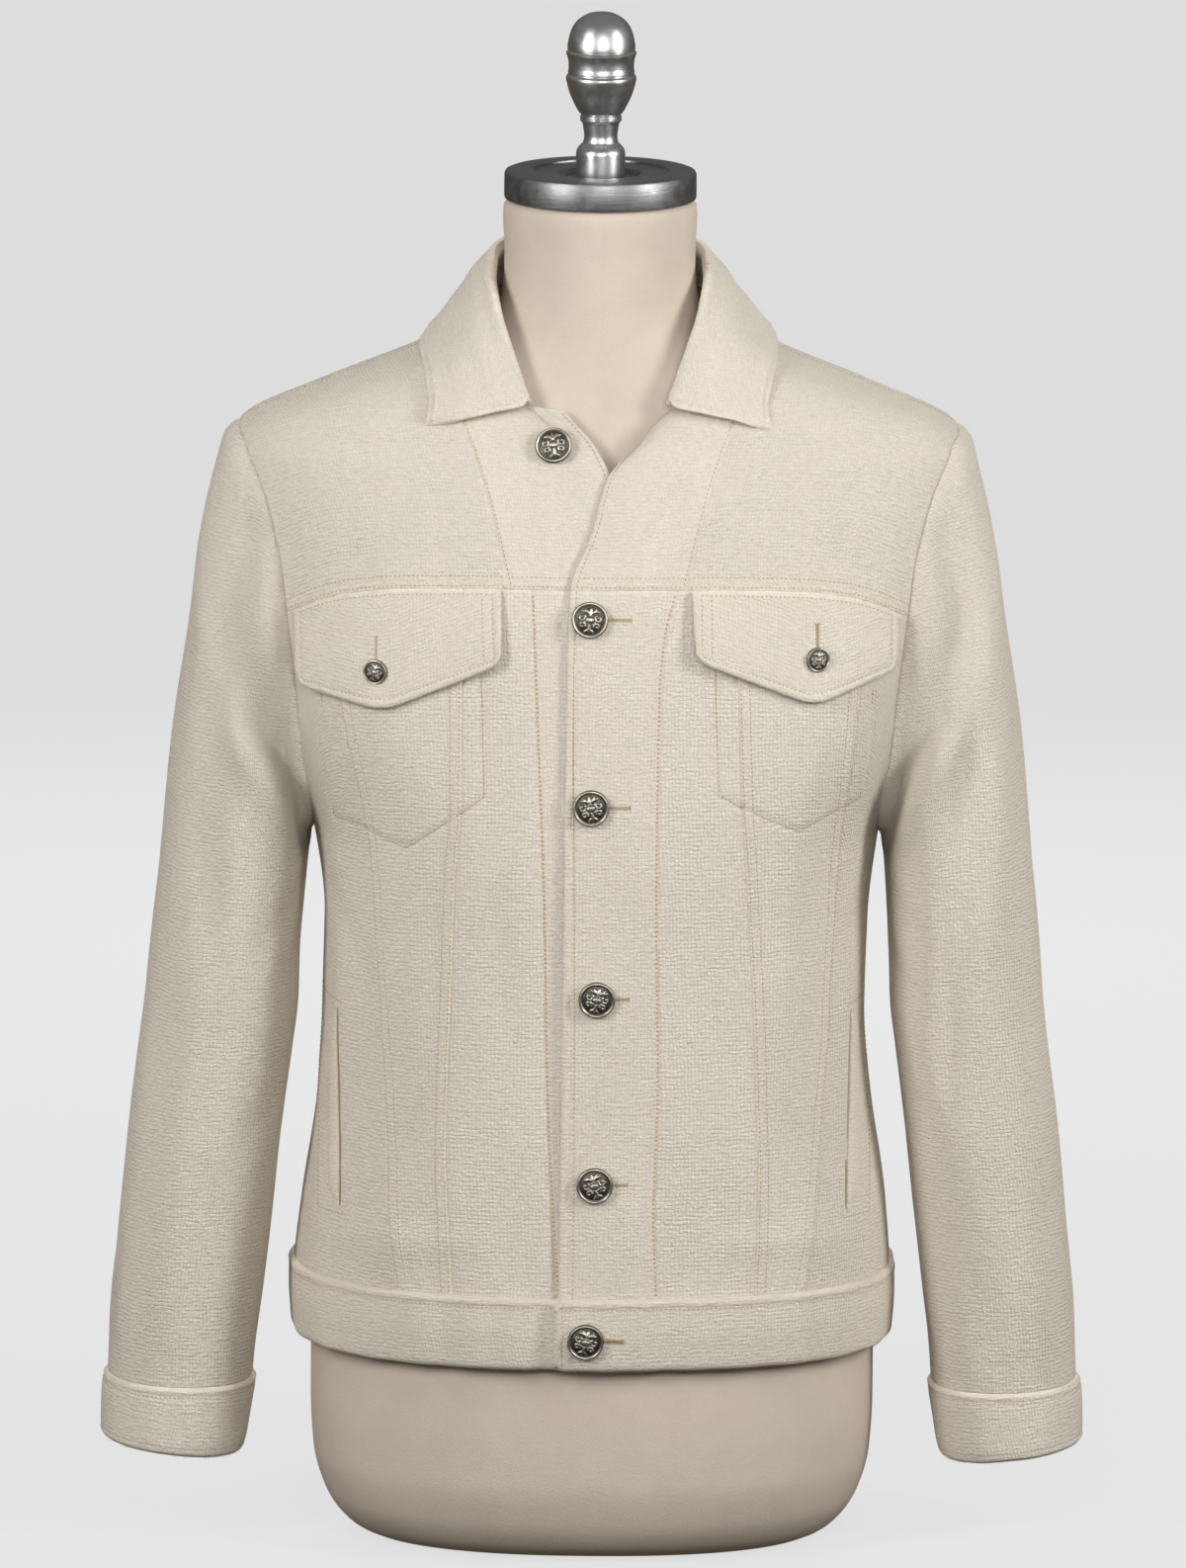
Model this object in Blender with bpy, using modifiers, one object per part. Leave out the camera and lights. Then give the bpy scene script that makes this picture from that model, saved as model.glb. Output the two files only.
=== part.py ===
"""A trucker-cut jacket of thick waffle cloth, worn on a limbless tailor's dress form.

Frame: metres, +Z up, the front of the jacket faces -Y, the origin is the centre of the form's
flat underside.  Left and right are the wearer's, so the left front is at +X and laps on top.

The cloth is a set of walls, one per cut piece.  Every piece of the body lies on one surface,
body_point(angle, z): at each height a superellipse whose half width, front depth and back depth
come from BODY_ROWS.  A piece is the patch of that surface between four seam curves, moved out or
in by its layer, then given its wall along the surface's own normals.  Pieces that meet at a seam
share its sample points and stop SEAM_GAP apart.
"""

import math

import bpy
import bmesh
import numpy as np
from mathutils import Vector

# ---------------------------------------------------------------- driving dimensions (metres)
WALL = 0.0020              # cloth of the panels and sleeves
BAND_WALL = 0.0030         # padded cloth of waistband and cuffs
SEAM_GAP = 0.0003          # clear width at every seam
OVERLAP_LIFT = 0.00135     # each front layer leaves the body surface by this where they lap
LAP_CLEAR = 0.0010         # applied pieces stand this far off the panel below
HEM_Z = 0.1320             # lower edge of the waistband
WAIST_Z = 0.1780           # seam between the panels and the waistband
UNDERARM_Z = 0.4550
SHOULDER_SPLIT_X = 0.1035  # where the upper front band meets the shoulder seam
SHOULDER_X = 0.2245        # end of the shoulder seam
NECK_POINT_Z = 0.7850      # neckline at the shoulder seam

# Body sections: height, half width, front depth, back depth, superellipse exponent
BODY_ROWS = (
    (0.118, 0.1860, 0.1270, 0.1120, 2.40),
    (0.132, 0.1875, 0.1290, 0.1140, 2.40),
    (0.178, 0.1890, 0.1310, 0.1160, 2.40),
    (0.215, 0.1860, 0.1305, 0.1140, 2.40),
    (0.285, 0.1760, 0.1290, 0.1080, 2.40),
    (0.345, 0.1720, 0.1285, 0.1055, 2.40),
    (0.400, 0.1720, 0.1290, 0.1070, 2.40),
    (0.455, 0.1780, 0.1300, 0.1120, 2.40),
    (0.530, 0.2080, 0.1275, 0.1195, 2.40),
    (0.606, 0.2230, 0.1215, 0.1235, 2.35),
    (0.660, 0.2330, 0.1090, 0.1210, 2.30),
    (0.698, 0.2370, 0.0950, 0.1110, 2.25),
    (0.7165, 0.2245, 0.0860, 0.1020, 2.20),
    (0.740, 0.1740, 0.0765, 0.0910, 2.20),
    (0.767, 0.1085, 0.0710, 0.0820, 2.15),
    (0.785, 0.0810, 0.0690, 0.0765, 2.10),
    (0.805, 0.0720, 0.0680, 0.0730, 2.05),
)

# Seams of each front from waistband to yoke: height, then the distance from the centre line
BAND_SEAM = {
    "left": ((0.178, 0.041), (0.232, 0.039), (0.314, 0.041), (0.441, 0.039), (0.560, 0.040),
             (0.600, 0.043), (0.628, 0.050)),
    "right": ((0.178, 0.022), (0.232, 0.026), (0.314, 0.030), (0.441, 0.033), (0.535, 0.037),
              (0.628, 0.041)),
}
INNER_SEAM = {
    "left": ((0.178, 0.102), (0.249, 0.103), (0.312, 0.101), (0.452, 0.094), (0.492, 0.091),
             (0.628, 0.086)),
    "right": ((0.178, 0.088), (0.280, 0.092), (0.387, 0.089), (0.451, 0.087), (0.489, 0.084),
              (0.628, 0.084)),
}
OUTER_SEAM = {
    "left": ((0.178, 0.134), (0.238, 0.142), (0.306, 0.146), (0.444, 0.154), (0.548, 0.163),
             (0.622, 0.168)),
    "right": ((0.178, 0.123), (0.232, 0.129), (0.275, 0.131), (0.381, 0.137), (0.469, 0.145),
              (0.553, 0.160), (0.622, 0.166)),
}
# Front edge of each layer: height, signed x
FRONT_EDGE = {
    "left": ((0.178, -0.0205), (0.400, -0.0190), (0.550, -0.0180), (0.628, -0.0160),
             (0.663, -0.0030), (0.697, 0.0070), (0.712, 0.0210), (0.727, 0.0340),
             (0.7385, 0.0480)),
    "right": ((0.178, 0.0260), (0.550, 0.0240), (0.628, 0.0220), (0.663, 0.0170),
              (0.697, 0.0070), (0.715, -0.0030), (0.728, -0.0150), (0.7355, -0.0220)),
}
# Yoke seam: distance from the centre line, height
YOKE_SEAM = ((0.000, 0.6280), (0.060, 0.6285), (0.120, 0.6265), (0.160, 0.6205), (0.200, 0.6020))
# Seam between the upper front band and the yoke: height, distance from the centre line
FLARE_SEAM = ((0.6285, 0.0550), (0.660, 0.0625), (0.690, 0.0710), (0.722, 0.0830),
              (0.745, 0.0930), (0.760, 0.0995), (0.7695, 0.1035))
FLARE_X = FLARE_SEAM[0][1]
BACK_YOKE_Z = 0.6120       # back yoke seam on the centre line
YOKE_ARMHOLE_Z = 0.6030    # both yoke seams meet the armhole here

# Armhole seen from the side: height, front y, back y
ARMHOLE_ROWS = (
    (0.7165, 0.0000, 0.0000),
    (0.7070, -0.0330, 0.0310),
    (0.6850, -0.0510, 0.0480),
    (0.6560, -0.0620, 0.0570),
    (0.6300, -0.0680, 0.0610),
    (0.6030, -0.0700, 0.0620),
    (0.5560, -0.0720, 0.0600),
    (0.5300, -0.0700, 0.0560),
    (0.5000, -0.0600, 0.0490),
    (0.4730, -0.0400, 0.0340),
    (0.4590, -0.0190, 0.0170),
    (0.4550, 0.0000, 0.0000),
)

# Neckline under the collar: angle from the front in degrees, height
NECKLINE = ((20.0, 0.7360), (30.0, 0.7375), (45.0, 0.7510), (60.0, 0.7655), (75.0, 0.7765),
            (90.0, 0.7850), (120.0, 0.7920), (150.0, 0.7970), (180.0, 0.7990))

# Sleeve sections below the armhole: outer x and z, inner x and z, half depth, centre y
SLEEVE_ROWS = (
    (0.2325, 0.7105, 0.1784, 0.4535, 0.0690, -0.0050),
    (0.2405, 0.6850, 0.1786, 0.4515, 0.0700, -0.0060),
    (0.2500, 0.6450, 0.1788, 0.4490, 0.0710, -0.0060),
    (0.2580, 0.5900, 0.1790, 0.4460, 0.0710, -0.0060),
    (0.2665, 0.5300, 0.1794, 0.4420, 0.0700, -0.0060),
    (0.2725, 0.4780, 0.1800, 0.4370, 0.0690, -0.0065),
    (0.2770, 0.4340, 0.1808, 0.4290, 0.0675, -0.0070),
    (0.2797, 0.4050, 0.1832, 0.4020, 0.0660, -0.0075),
    (0.2822, 0.3750, 0.1855, 0.3730, 0.0645, -0.0080),
    (0.2843, 0.3480, 0.1870, 0.3465, 0.0630, -0.0085),
    (0.2878, 0.3180, 0.1912, 0.3165, 0.0615, -0.0090),
    (0.2918, 0.2850, 0.1960, 0.2835, 0.0600, -0.0100),
    (0.2950, 0.2550, 0.2000, 0.2535, 0.0585, -0.0110),
    (0.2985, 0.2200, 0.2040, 0.2185, 0.0565, -0.0120),
    (0.3017, 0.1880, 0.2075, 0.1865, 0.0550, -0.0130),
    (0.3050, 0.1560, 0.2108, 0.1540, 0.0535, -0.0140),
    (0.3067, 0.1300, 0.2135, 0.1280, 0.0525, -0.0145),
    (0.3080, 0.1052, 0.2158, 0.1025, 0.0515, -0.0150),
)
SLEEVE_POWER = 2.15
# Diagonal fold from the front of the armhole to the underarm: height, angle on the sleeve
ARM_FOLD = ((0.440, 168.0), (0.470, 148.0), (0.505, 122.0), (0.535, 97.0), (0.570, 78.0),
            (0.605, 58.0), (0.640, 46.0))
ARM_FOLD_DEPTH = 0.0050
ARM_FOLD_WIDTH = 16.0      # degrees to either side
# Cuff sections: outer x and z, inner x and z, half depth, centre y
CUFF_ROWS = (
    (0.3088, 0.1048, 0.2150, 0.1021, 0.0523, -0.0150),
    (0.3108, 0.1020, 0.2135, 0.0990, 0.0540, -0.0150),
    (0.3122, 0.0840, 0.2168, 0.0780, 0.0538, -0.0155),
    (0.3124, 0.0690, 0.2200, 0.0600, 0.0530, -0.0160),
    (0.3112, 0.0660, 0.2220, 0.0558, 0.0512, -0.0160),
)
# Waistband rows: height above HEM_Z, distance out of the body surface
WAISTBAND_ROWS = ((0.0004, 0.0006), (0.0040, 0.0024), (0.0220, 0.0032), (0.0400, 0.0028),
                  (0.0457, 0.0008))
WAISTBAND_LIFT = 0.0020
WAISTBAND_ENDS = (0.0260, -0.0225)   # x of the under end and of the lapping end

# Collar from the front end to the centre back: angle in degrees, roll line radius and height,
# neckline height, then the angle and height of the outer edge
COLLAR_ROWS = (
    (30.0, 0.0905, 0.7430, 0.7375, 55.5, 0.7240),
    (38.0, 0.0870, 0.7650, 0.7445, 58.5, 0.7390),
    (48.0, 0.0825, 0.7850, 0.7540, 65.5, 0.7540),
    (66.0, 0.0740, 0.8060, 0.7705, 80.0, 0.7645),
    (90.0, 0.0680, 0.8205, 0.7850, 97.0, 0.7680),
    (120.0, 0.0685, 0.8255, 0.7920, 123.0, 0.7685),
    (150.0, 0.0700, 0.8280, 0.7970, 151.5, 0.7700),
    (180.0, 0.0710, 0.8290, 0.7990, 180.0, 0.7710),
)

COLLAR_RISE = 0.0038       # foot of the stand above the neckline seam's mid wall

# Chest flaps: x of inner and outer edge at the seam, x and z of the lower corners and the point
FLAPS = {
    "left": {"top": (0.0600, 0.1860), "inner": (0.0620, 0.5860), "point": (0.1340, 0.5570),
             "outer": (0.1830, 0.5740)},
    "right": {"top": (0.0610, 0.1870), "inner": (0.0600, 0.5830), "point": (0.1315, 0.5520),
              "outer": (0.1830, 0.5620)},
}
FLAP_WALL = 0.0026
WELT = {"x": 0.1640, "width": 0.0070, "z": (0.2240, 0.3520)}

# Buttons: name, x, z, radius, extra distance out of the body surface
BUTTONS = (
    ("front_button_1", -0.0280, 0.7140, 0.0114, 0.0012),
    ("front_button_2", -0.0045, 0.6105, 0.0114, 0.0021),
    ("front_button_3", -0.0030, 0.4930, 0.0114, 0.0021),
    ("front_button_4", 0.0015, 0.3710, 0.0114, 0.0021),
    ("front_button_5", 0.0010, 0.2520, 0.0114, 0.0021),
    ("waistband_button", -0.0040, 0.1530, 0.0114, 0.0060),
    ("flap_button_right", -0.1360, 0.5745, 0.0078, 0.0046),
    ("flap_button_left", 0.1360, 0.5840, 0.0078, 0.0046),
)
# Button profile for a radius of one: radius, height (top to bottom)
BUTTON_PROFILE = ((0.0, 0.40), (0.42, 0.37), (0.74, 0.27), (0.80, 0.24), (0.90, 0.31),
                  (1.00, 0.22), (0.96, 0.05), (0.70, 0.0), (0.0, 0.0))

# Dress form sections: height, half width, front depth, back depth, exponent
FORM_ROWS = (
    (0.0000, 0.1300, 0.0780, 0.0680, 2.30),
    (0.0030, 0.1440, 0.0920, 0.0800, 2.32),
    (0.0120, 0.1580, 0.1050, 0.0910, 2.35),
    (0.0300, 0.1700, 0.1145, 0.1000, 2.40),
    (0.0550, 0.1770, 0.1200, 0.1050, 2.40),
    (0.0900, 0.1790, 0.1212, 0.1066, 2.40),
    (0.1320, 0.1790, 0.1210, 0.1062, 2.40),
    (0.1780, 0.1795, 0.1222, 0.1075, 2.40),
    (0.2300, 0.1735, 0.1212, 0.1040, 2.40),
    (0.2850, 0.1670, 0.1205, 0.0998, 2.40),
    (0.3450, 0.1630, 0.1200, 0.0975, 2.40),
    (0.4000, 0.1630, 0.1205, 0.0990, 2.40),
    (0.4550, 0.1690, 0.1215, 0.1040, 2.40),
    (0.5300, 0.1930, 0.1190, 0.1115, 2.40),
    (0.6060, 0.2100, 0.1130, 0.1155, 2.35),
    (0.6600, 0.2180, 0.1000, 0.1125, 2.30),
    (0.6850, 0.2190, 0.0905, 0.1060, 2.28),
    (0.7010, 0.2150, 0.0825, 0.0985, 2.25),
    (0.7120, 0.2030, 0.0775, 0.0925, 2.20),
    (0.7300, 0.1690, 0.0720, 0.0850, 2.20),
    (0.7500, 0.1240, 0.0670, 0.0765, 2.15),
    (0.7660, 0.0900, 0.0635, 0.0700, 2.08),
    (0.7800, 0.0700, 0.0618, 0.0645, 2.02),
    (0.7980, 0.0615, 0.0608, 0.0612, 2.00),
    (0.8250, 0.0600, 0.0600, 0.0600, 2.00),
    (0.8470, 0.0610, 0.0610, 0.0610, 2.00),
    (0.8540, 0.0604, 0.0604, 0.0604, 2.00),
    (0.8567, 0.0580, 0.0580, 0.0580, 2.00),
)
FORM_SEGMENTS = 32

# Neck cap, outer side top to bottom: radius, height
CAP_PROFILE = ((0.0, 0.8700), (0.0250, 0.8700), (0.0256, 0.8735), (0.0425, 0.8735),
               (0.0432, 0.8752), (0.0585, 0.8750), (0.0600, 0.8735), (0.0604, 0.8660),
               (0.0604, 0.8590), (0.0592, 0.8572), (0.0, 0.8572))
# Finial standing in the cap, top to bottom: radius, height
FINIAL_PROFILE = ((0.0, 0.9752), (0.0060, 0.9746), (0.0118, 0.9722), (0.0175, 0.9667),
                  (0.0206, 0.9580), (0.0216, 0.9525), (0.0222, 0.9503), (0.0219, 0.9478),
                  (0.0207, 0.9435), (0.0213, 0.9385), (0.0217, 0.9340), (0.0202, 0.9275),
                  (0.0172, 0.9195), (0.0136, 0.9125), (0.0122, 0.9103), (0.0136, 0.9085),
                  (0.0134, 0.9062), (0.0113, 0.9045), (0.0100, 0.8985), (0.0106, 0.8935),
                  (0.0128, 0.8895), (0.0148, 0.8865), (0.0147, 0.8800), (0.0142, 0.8703),
                  (0.0, 0.8703))

# Cells along each shared seam
CELLS_LOWER = 10           # waistband to underarm
CELLS_ARM_LOWER = 6        # underarm to yoke seam, front and back alike
CELLS_ARM_UPPER = 5        # yoke seam to shoulder
CELLS_SHOULDER = 7         # shoulder seam of the yoke
CELLS_NECK_FRONT = 4       # neckline of one front
CELLS_NECK_BACK = 6        # neckline of the back yoke

# ---------------------------------------------------------------- colours
CREAM = (0.720, 0.655, 0.535)
CANVAS = (0.640, 0.590, 0.500)
ALUMINIUM = (0.600, 0.590, 0.570)
POLISHED_METAL = (0.520, 0.510, 0.490)
SILVER = (0.420, 0.400, 0.360)


# ---------------------------------------------------------------- curves and surfaces
def smooth_table(value, xs, ys):
    """Monotone cubic through (xs, ys), so a table's rows never overshoot between themselves."""
    xs = np.asarray(xs, float)
    ys = np.asarray(ys, float)
    step = np.diff(xs)
    slope = np.diff(ys) / step
    tangent = np.concatenate(([slope[0]], np.zeros(len(xs) - 2), [slope[-1]]))
    same_sign = slope[:-1] * slope[1:] > 0.0
    weight_a = 2.0 * step[1:] + step[:-1]
    weight_b = step[1:] + 2.0 * step[:-1]
    safe_a = np.where(same_sign, slope[:-1], 1.0)
    safe_b = np.where(same_sign, slope[1:], 1.0)
    mean = (weight_a + weight_b) / (weight_a / safe_a + weight_b / safe_b)
    tangent[1:-1] = np.where(same_sign, mean, 0.0)
    value = np.clip(np.asarray(value, float), xs[0], xs[-1])
    k = np.clip(np.searchsorted(xs, value, side="right") - 1, 0, len(xs) - 2)
    t = (value - xs[k]) / step[k]
    return ((1 + 2 * t) * (1 - t) ** 2 * ys[k] + t * (1 - t) ** 2 * step[k] * tangent[k]
            + t * t * (3 - 2 * t) * ys[k + 1] + t * t * (t - 1) * step[k] * tangent[k + 1])


def smooth_step(value):
    """0 below 0, 1 above 1, with level ends."""
    t = np.clip(value, 0.0, 1.0)
    return t * t * (3.0 - 2.0 * t)


def section(rows, z):
    """Half width, front depth, back depth and exponent of a section table at height z."""
    table = np.array(rows)
    return [smooth_table(z, table[:, 0], table[:, k]) for k in (1, 2, 3, 4)]


def section_point(rows, angle, z):
    """Point of a section table at an angle from the front (-Y) toward +X, and height z."""
    half, front, back, power = section(rows, z)
    sine, cosine = np.sin(angle), np.cos(angle)
    depth = np.where(cosine >= 0.0, front, back)
    inverse = np.abs(sine / half) ** power + np.abs(cosine / depth) ** power
    radius = inverse ** (-1.0 / power)
    return np.stack([radius * sine, -radius * cosine, np.broadcast_to(z, radius.shape)], -1)


def body_point(angle, z):
    """Point of the body surface."""
    return section_point(BODY_ROWS, np.asarray(angle, float), np.asarray(z, float))


def body_normal(angle, z):
    """Outward unit normal of the body surface, by central differences."""
    angle = np.asarray(angle, float)
    z = np.asarray(z, float)
    along = body_point(angle + 0.01, z) - body_point(angle - 0.01, z)
    upward = body_point(angle, z + 0.002) - body_point(angle, z - 0.002)
    normal = np.cross(along, upward)
    return normal / np.linalg.norm(normal, axis=-1, keepdims=True)


def angle_of_x(x, z):
    """Angle of the front body point with the given x at height z."""
    half, front, _, power = section(BODY_ROWS, z)
    rest = np.maximum(1.0 - np.abs(x / half) ** power, 0.0)
    return np.arctan2(x, front * rest ** (1.0 / power))


def angle_of_y(y, z):
    """Angle of the body point on the +X side with the given y at height z."""
    half, front, back, power = section(BODY_ROWS, z)
    depth = np.where(np.asarray(y) <= 0.0, front, back)
    rest = np.maximum(1.0 - np.abs(y / depth) ** power, 0.0)
    return np.arctan2(half * rest ** (1.0 / power), -np.asarray(y))


def resample(path, cells):
    """cells + 1 points, evenly spaced by length, along a finely sampled (angle, z) path."""
    steps = np.linalg.norm(np.diff(body_point(path[:, 0], path[:, 1]), axis=0), axis=1)
    length = np.concatenate(([0.0], np.cumsum(steps)))
    at = np.linspace(0.0, length[-1], cells + 1)
    return np.stack([np.interp(at, length, path[:, k]) for k in (0, 1)], -1)


# ---------------------------------------------------------------- seam curves in (angle, z)
def seam_path(table, z_low, z_high, sign):
    """Fine path of a vertical seam given as (height, distance from the centre line) rows."""
    rows = np.array(table)
    z = np.linspace(z_low, z_high, 80)
    return np.stack([angle_of_x(sign * smooth_table(z, rows[:, 0], rows[:, 1]), z), z], -1)


def yoke_height(x):
    """Height of the front yoke seam at a distance from the centre line."""
    rows = np.array(YOKE_SEAM)
    return smooth_table(np.abs(x), rows[:, 0], rows[:, 1])


def armhole_path(z_low, z_high, column):
    """Fine path up the +X armhole between two heights, along its front (1) or back (2)."""
    rows = np.array(ARMHOLE_ROWS)
    chord = np.linalg.norm(np.diff(rows[:, [0, column]], axis=0), axis=1)
    length = np.concatenate(([0.0], np.cumsum(chord)))
    at = np.linspace(0.0, length[-1], 600)
    z = smooth_table(at, length, rows[:, 0])
    y = smooth_table(at, length, rows[:, column])
    keep = (z >= z_low - 1e-9) & (z <= z_high + 1e-9)
    return np.stack([angle_of_y(y[keep], z[keep]), z[keep]], -1)[::-1]


def shoulder_height(x):
    """Height of the shoulder line (angle 90 degrees) at half width x."""
    z = np.linspace(0.700, 0.800, 400)
    half = section(BODY_ROWS, z)[0]
    return np.interp(-np.asarray(x, float), -half, z)


def neckline_height(angle):
    """Height of the neckline seam at an angle from the front."""
    rows = np.array(NECKLINE)
    return smooth_table(np.degrees(np.abs(angle)), rows[:, 0], rows[:, 1])


def side_edge(column):
    """Side seam and lower armhole of the +X side, from waistband up to the yoke seam."""
    side = np.linspace(WAIST_Z, UNDERARM_Z, CELLS_LOWER + 1)
    seam = np.stack([np.full_like(side, math.pi / 2.0), side], -1)
    arm = resample(armhole_path(UNDERARM_Z, YOKE_ARMHOLE_Z, column), CELLS_ARM_LOWER)
    return np.concatenate([seam, arm[1:]])


def upper_armhole(column):
    """Armhole of the +X side from the yoke seam up to the shoulder point."""
    return resample(armhole_path(YOKE_ARMHOLE_Z, 0.7165, column), CELLS_ARM_UPPER)


def shoulder_stations():
    """Shoulder seam points of the yoke from its inner end out to the armhole."""
    x = np.linspace(SHOULDER_SPLIT_X, SHOULDER_X, CELLS_SHOULDER + 1)
    z = shoulder_height(x)
    z[-1] = ARMHOLE_ROWS[0][0]
    return np.stack([np.full_like(z, math.pi / 2.0), z], -1)


def mirrored(path):
    """The same path on the -X side."""
    return path * np.array([-1.0, 1.0])


def front_seams(side):
    """All shared sample points of one front, as (angle, z) arrays keyed by seam."""
    sign = 1.0 if side == "left" else -1.0
    rows = CELLS_LOWER + CELLS_ARM_LOWER
    levels = {}
    for name, table in (("band", BAND_SEAM[side]), ("inner", INNER_SEAM[side]),
                        ("outer", OUTER_SEAM[side])):
        top = float(yoke_height(table[-1][1]))
        levels[name] = resample(seam_path(table, WAIST_Z, top, sign), rows)
    edge_top = float(yoke_height(0.018))
    levels["edge"] = resample(seam_path(FRONT_EDGE[side], WAIST_Z, edge_top, 1.0), rows)
    side_up = side_edge(1)
    levels["side"] = side_up if side == "left" else mirrored(side_up)
    armhole = upper_armhole(1)
    levels["armhole"] = armhole if side == "left" else mirrored(armhole)

    shoulder = shoulder_stations() * np.array([sign, 1.0])
    levels["shoulder"] = shoulder
    flare = seam_path(FLARE_SEAM, float(yoke_height(FLARE_X)), shoulder[0, 1] - 0.0006, sign)
    levels["flare"] = resample(np.concatenate([flare, shoulder[:1]]), CELLS_ARM_UPPER)
    opening = seam_path(FRONT_EDGE[side], edge_top, FRONT_EDGE[side][-1][0], 1.0)
    levels["opening"] = resample(opening, CELLS_ARM_UPPER)
    start = abs(levels["opening"][-1, 0])
    if side == "right":
        start = math.radians(16.5)
    angle = np.linspace(start, math.pi / 2.0, 80)
    levels["neck"] = resample(np.stack([sign * angle, neckline_height(angle)], -1),
                              CELLS_NECK_FRONT)
    levels["neck"][0] = levels["opening"][-1]
    return levels


def yoke_line(side, x_from, x_to, cells):
    """Yoke seam points between two signed x values."""
    x = np.linspace(x_from, x_to, cells + 1)
    z = yoke_height(x)
    return np.stack([angle_of_x(x, z), z], -1)


def joined(*paths):
    """Paths end to end, each shared end point kept once."""
    out = [paths[0]]
    for path in paths[1:]:
        out.append(path[1:])
    return np.concatenate(out)


def coons(bottom, top, start, end):
    """Transfinite patch in (angle, z) between four sampled edges; rows run bottom to top."""
    v = np.linspace(0.0, 1.0, len(start))[:, None, None]
    u = np.linspace(0.0, 1.0, len(bottom))[None, :, None]
    ruled = (1 - v) * bottom[None] + v * top[None] + (1 - u) * start[:, None] + u * end[:, None]
    corners = ((1 - u) * (1 - v) * bottom[0] + u * (1 - v) * bottom[-1]
               + (1 - u) * v * top[0] + u * v * top[-1])
    return ruled - corners


# ---------------------------------------------------------------- solids
def new_object(name, mesh, collection, material, parent):
    """Link a mesh as one named part with one material."""
    mesh.materials.append(material)
    obj = bpy.data.objects.new(name, mesh)
    obj.parent = parent
    collection.objects.link(obj)
    return obj


def wall_mesh(name, outer, inner, ring=False):
    """Closed wall between two (rows, columns, 3) grids; a ring's last column meets its first."""
    rows, columns = outer.shape[:2]
    index = np.arange(rows * columns).reshape(rows, columns)
    if ring:
        index = np.concatenate([index, index[:, :1]], axis=1)
    back = index + rows * columns
    faces = []
    for grid, flip in ((index, False), (back, True)):
        quads = np.stack([grid[:-1, :-1], grid[:-1, 1:], grid[1:, 1:], grid[1:, :-1]], -1)
        quads = quads.reshape(-1, 4)
        faces.append(quads[:, ::-1] if flip else quads)
    rims = [(index[0], back[0]), (index[-1, ::-1], back[-1, ::-1])]
    if not ring:
        rims += [(index[::-1, 0], back[::-1, 0]), (index[:, -1], back[:, -1])]
    for front, behind in rims:
        faces.append(np.stack([front[1:], front[:-1], behind[:-1], behind[1:]], -1))
    vertices = np.concatenate([outer.reshape(-1, 3), inner.reshape(-1, 3)])
    mesh = bpy.data.meshes.new(name)
    mesh.from_pydata(vertices.tolist(), [], np.concatenate(faces).tolist())
    face_outward(mesh)
    return mesh


def face_outward(mesh):
    """Turn a closed mesh's faces out, and shade it smooth except at its edges."""
    shape = bmesh.new()
    shape.from_mesh(mesh)
    if shape.calc_volume(signed=True) < 0.0:
        bmesh.ops.reverse_faces(shape, faces=shape.faces)
    shape.to_mesh(mesh)
    shape.free()
    mesh.shade_smooth()
    mesh.set_sharp_from_angle(angle=math.radians(40.0))


def inset_border(grid, distance, ring=False):
    """Move a grid's border points toward their inner neighbours by a distance."""
    moved = grid.copy()

    def pull(edge, neighbour):
        step = neighbour - edge
        return distance * step / np.linalg.norm(step, axis=-1, keepdims=True)

    moved[0] += pull(grid[0], grid[1])
    moved[-1] += pull(grid[-1], grid[-2])
    if not ring:
        moved[:, 0] += pull(grid[:, 0], grid[:, 1])
        moved[:, -1] += pull(grid[:, -1], grid[:, -2])
    return moved


def front_lift(side, x):
    """Distance out of the body surface of a front layer, from its own side across the lap."""
    if side == "left":
        return OVERLAP_LIFT * smooth_step((0.037 - x) / 0.012)
    return -OVERLAP_LIFT * smooth_step((x + 0.033) / 0.011)


def body_panel(name, patch, lift=None, edge_normals=None):
    """Wall of one body piece from its (angle, z) patch.

    edge_normals replaces the wall direction on the last column where a sleeve joins.
    """
    angle, z = patch[..., 0], patch[..., 1]
    outer = body_point(angle, z)
    normal = body_normal(angle, z)
    if lift is not None:
        outer = outer + lift(outer[..., 0])[..., None] * normal
    if edge_normals is not None:
        for (rows, columns), vectors in edge_normals:
            normal[rows, columns] = vectors
    inner = outer - WALL * normal
    outer = inset_border(outer, SEAM_GAP / 2.0)
    inner = inset_border(inner, SEAM_GAP / 2.0)
    return wall_mesh(name, outer, inner)


# ---------------------------------------------------------------- sleeves and cuffs
def ring_point(row, angle):
    """Point of a sleeve section; angle 0 is its outer side, 90 degrees its front."""
    outer_x, outer_z, inner_x, inner_z, depth, centre_y = row
    cosine, sine = np.cos(angle), np.sin(angle)
    across = np.sign(cosine) * np.abs(cosine) ** (2.0 / SLEEVE_POWER)
    ahead = np.sign(sine) * np.abs(sine) ** (2.0 / SLEEVE_POWER)
    x = (outer_x + inner_x) / 2.0 + across * (outer_x - inner_x) / 2.0
    z = (outer_z + inner_z) / 2.0 + across * (outer_z - inner_z) / 2.0
    return np.stack([x, centre_y - depth * ahead, z], -1)


def armhole_loop():
    """The +X armhole as one closed run of points: shoulder, front, underarm, back."""
    front = joined(side_edge(1)[CELLS_LOWER:], upper_armhole(1))[::-1]
    back = joined(side_edge(2)[CELLS_LOWER:], upper_armhole(2))
    return np.concatenate([front[:-1], back[:-1]])


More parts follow.
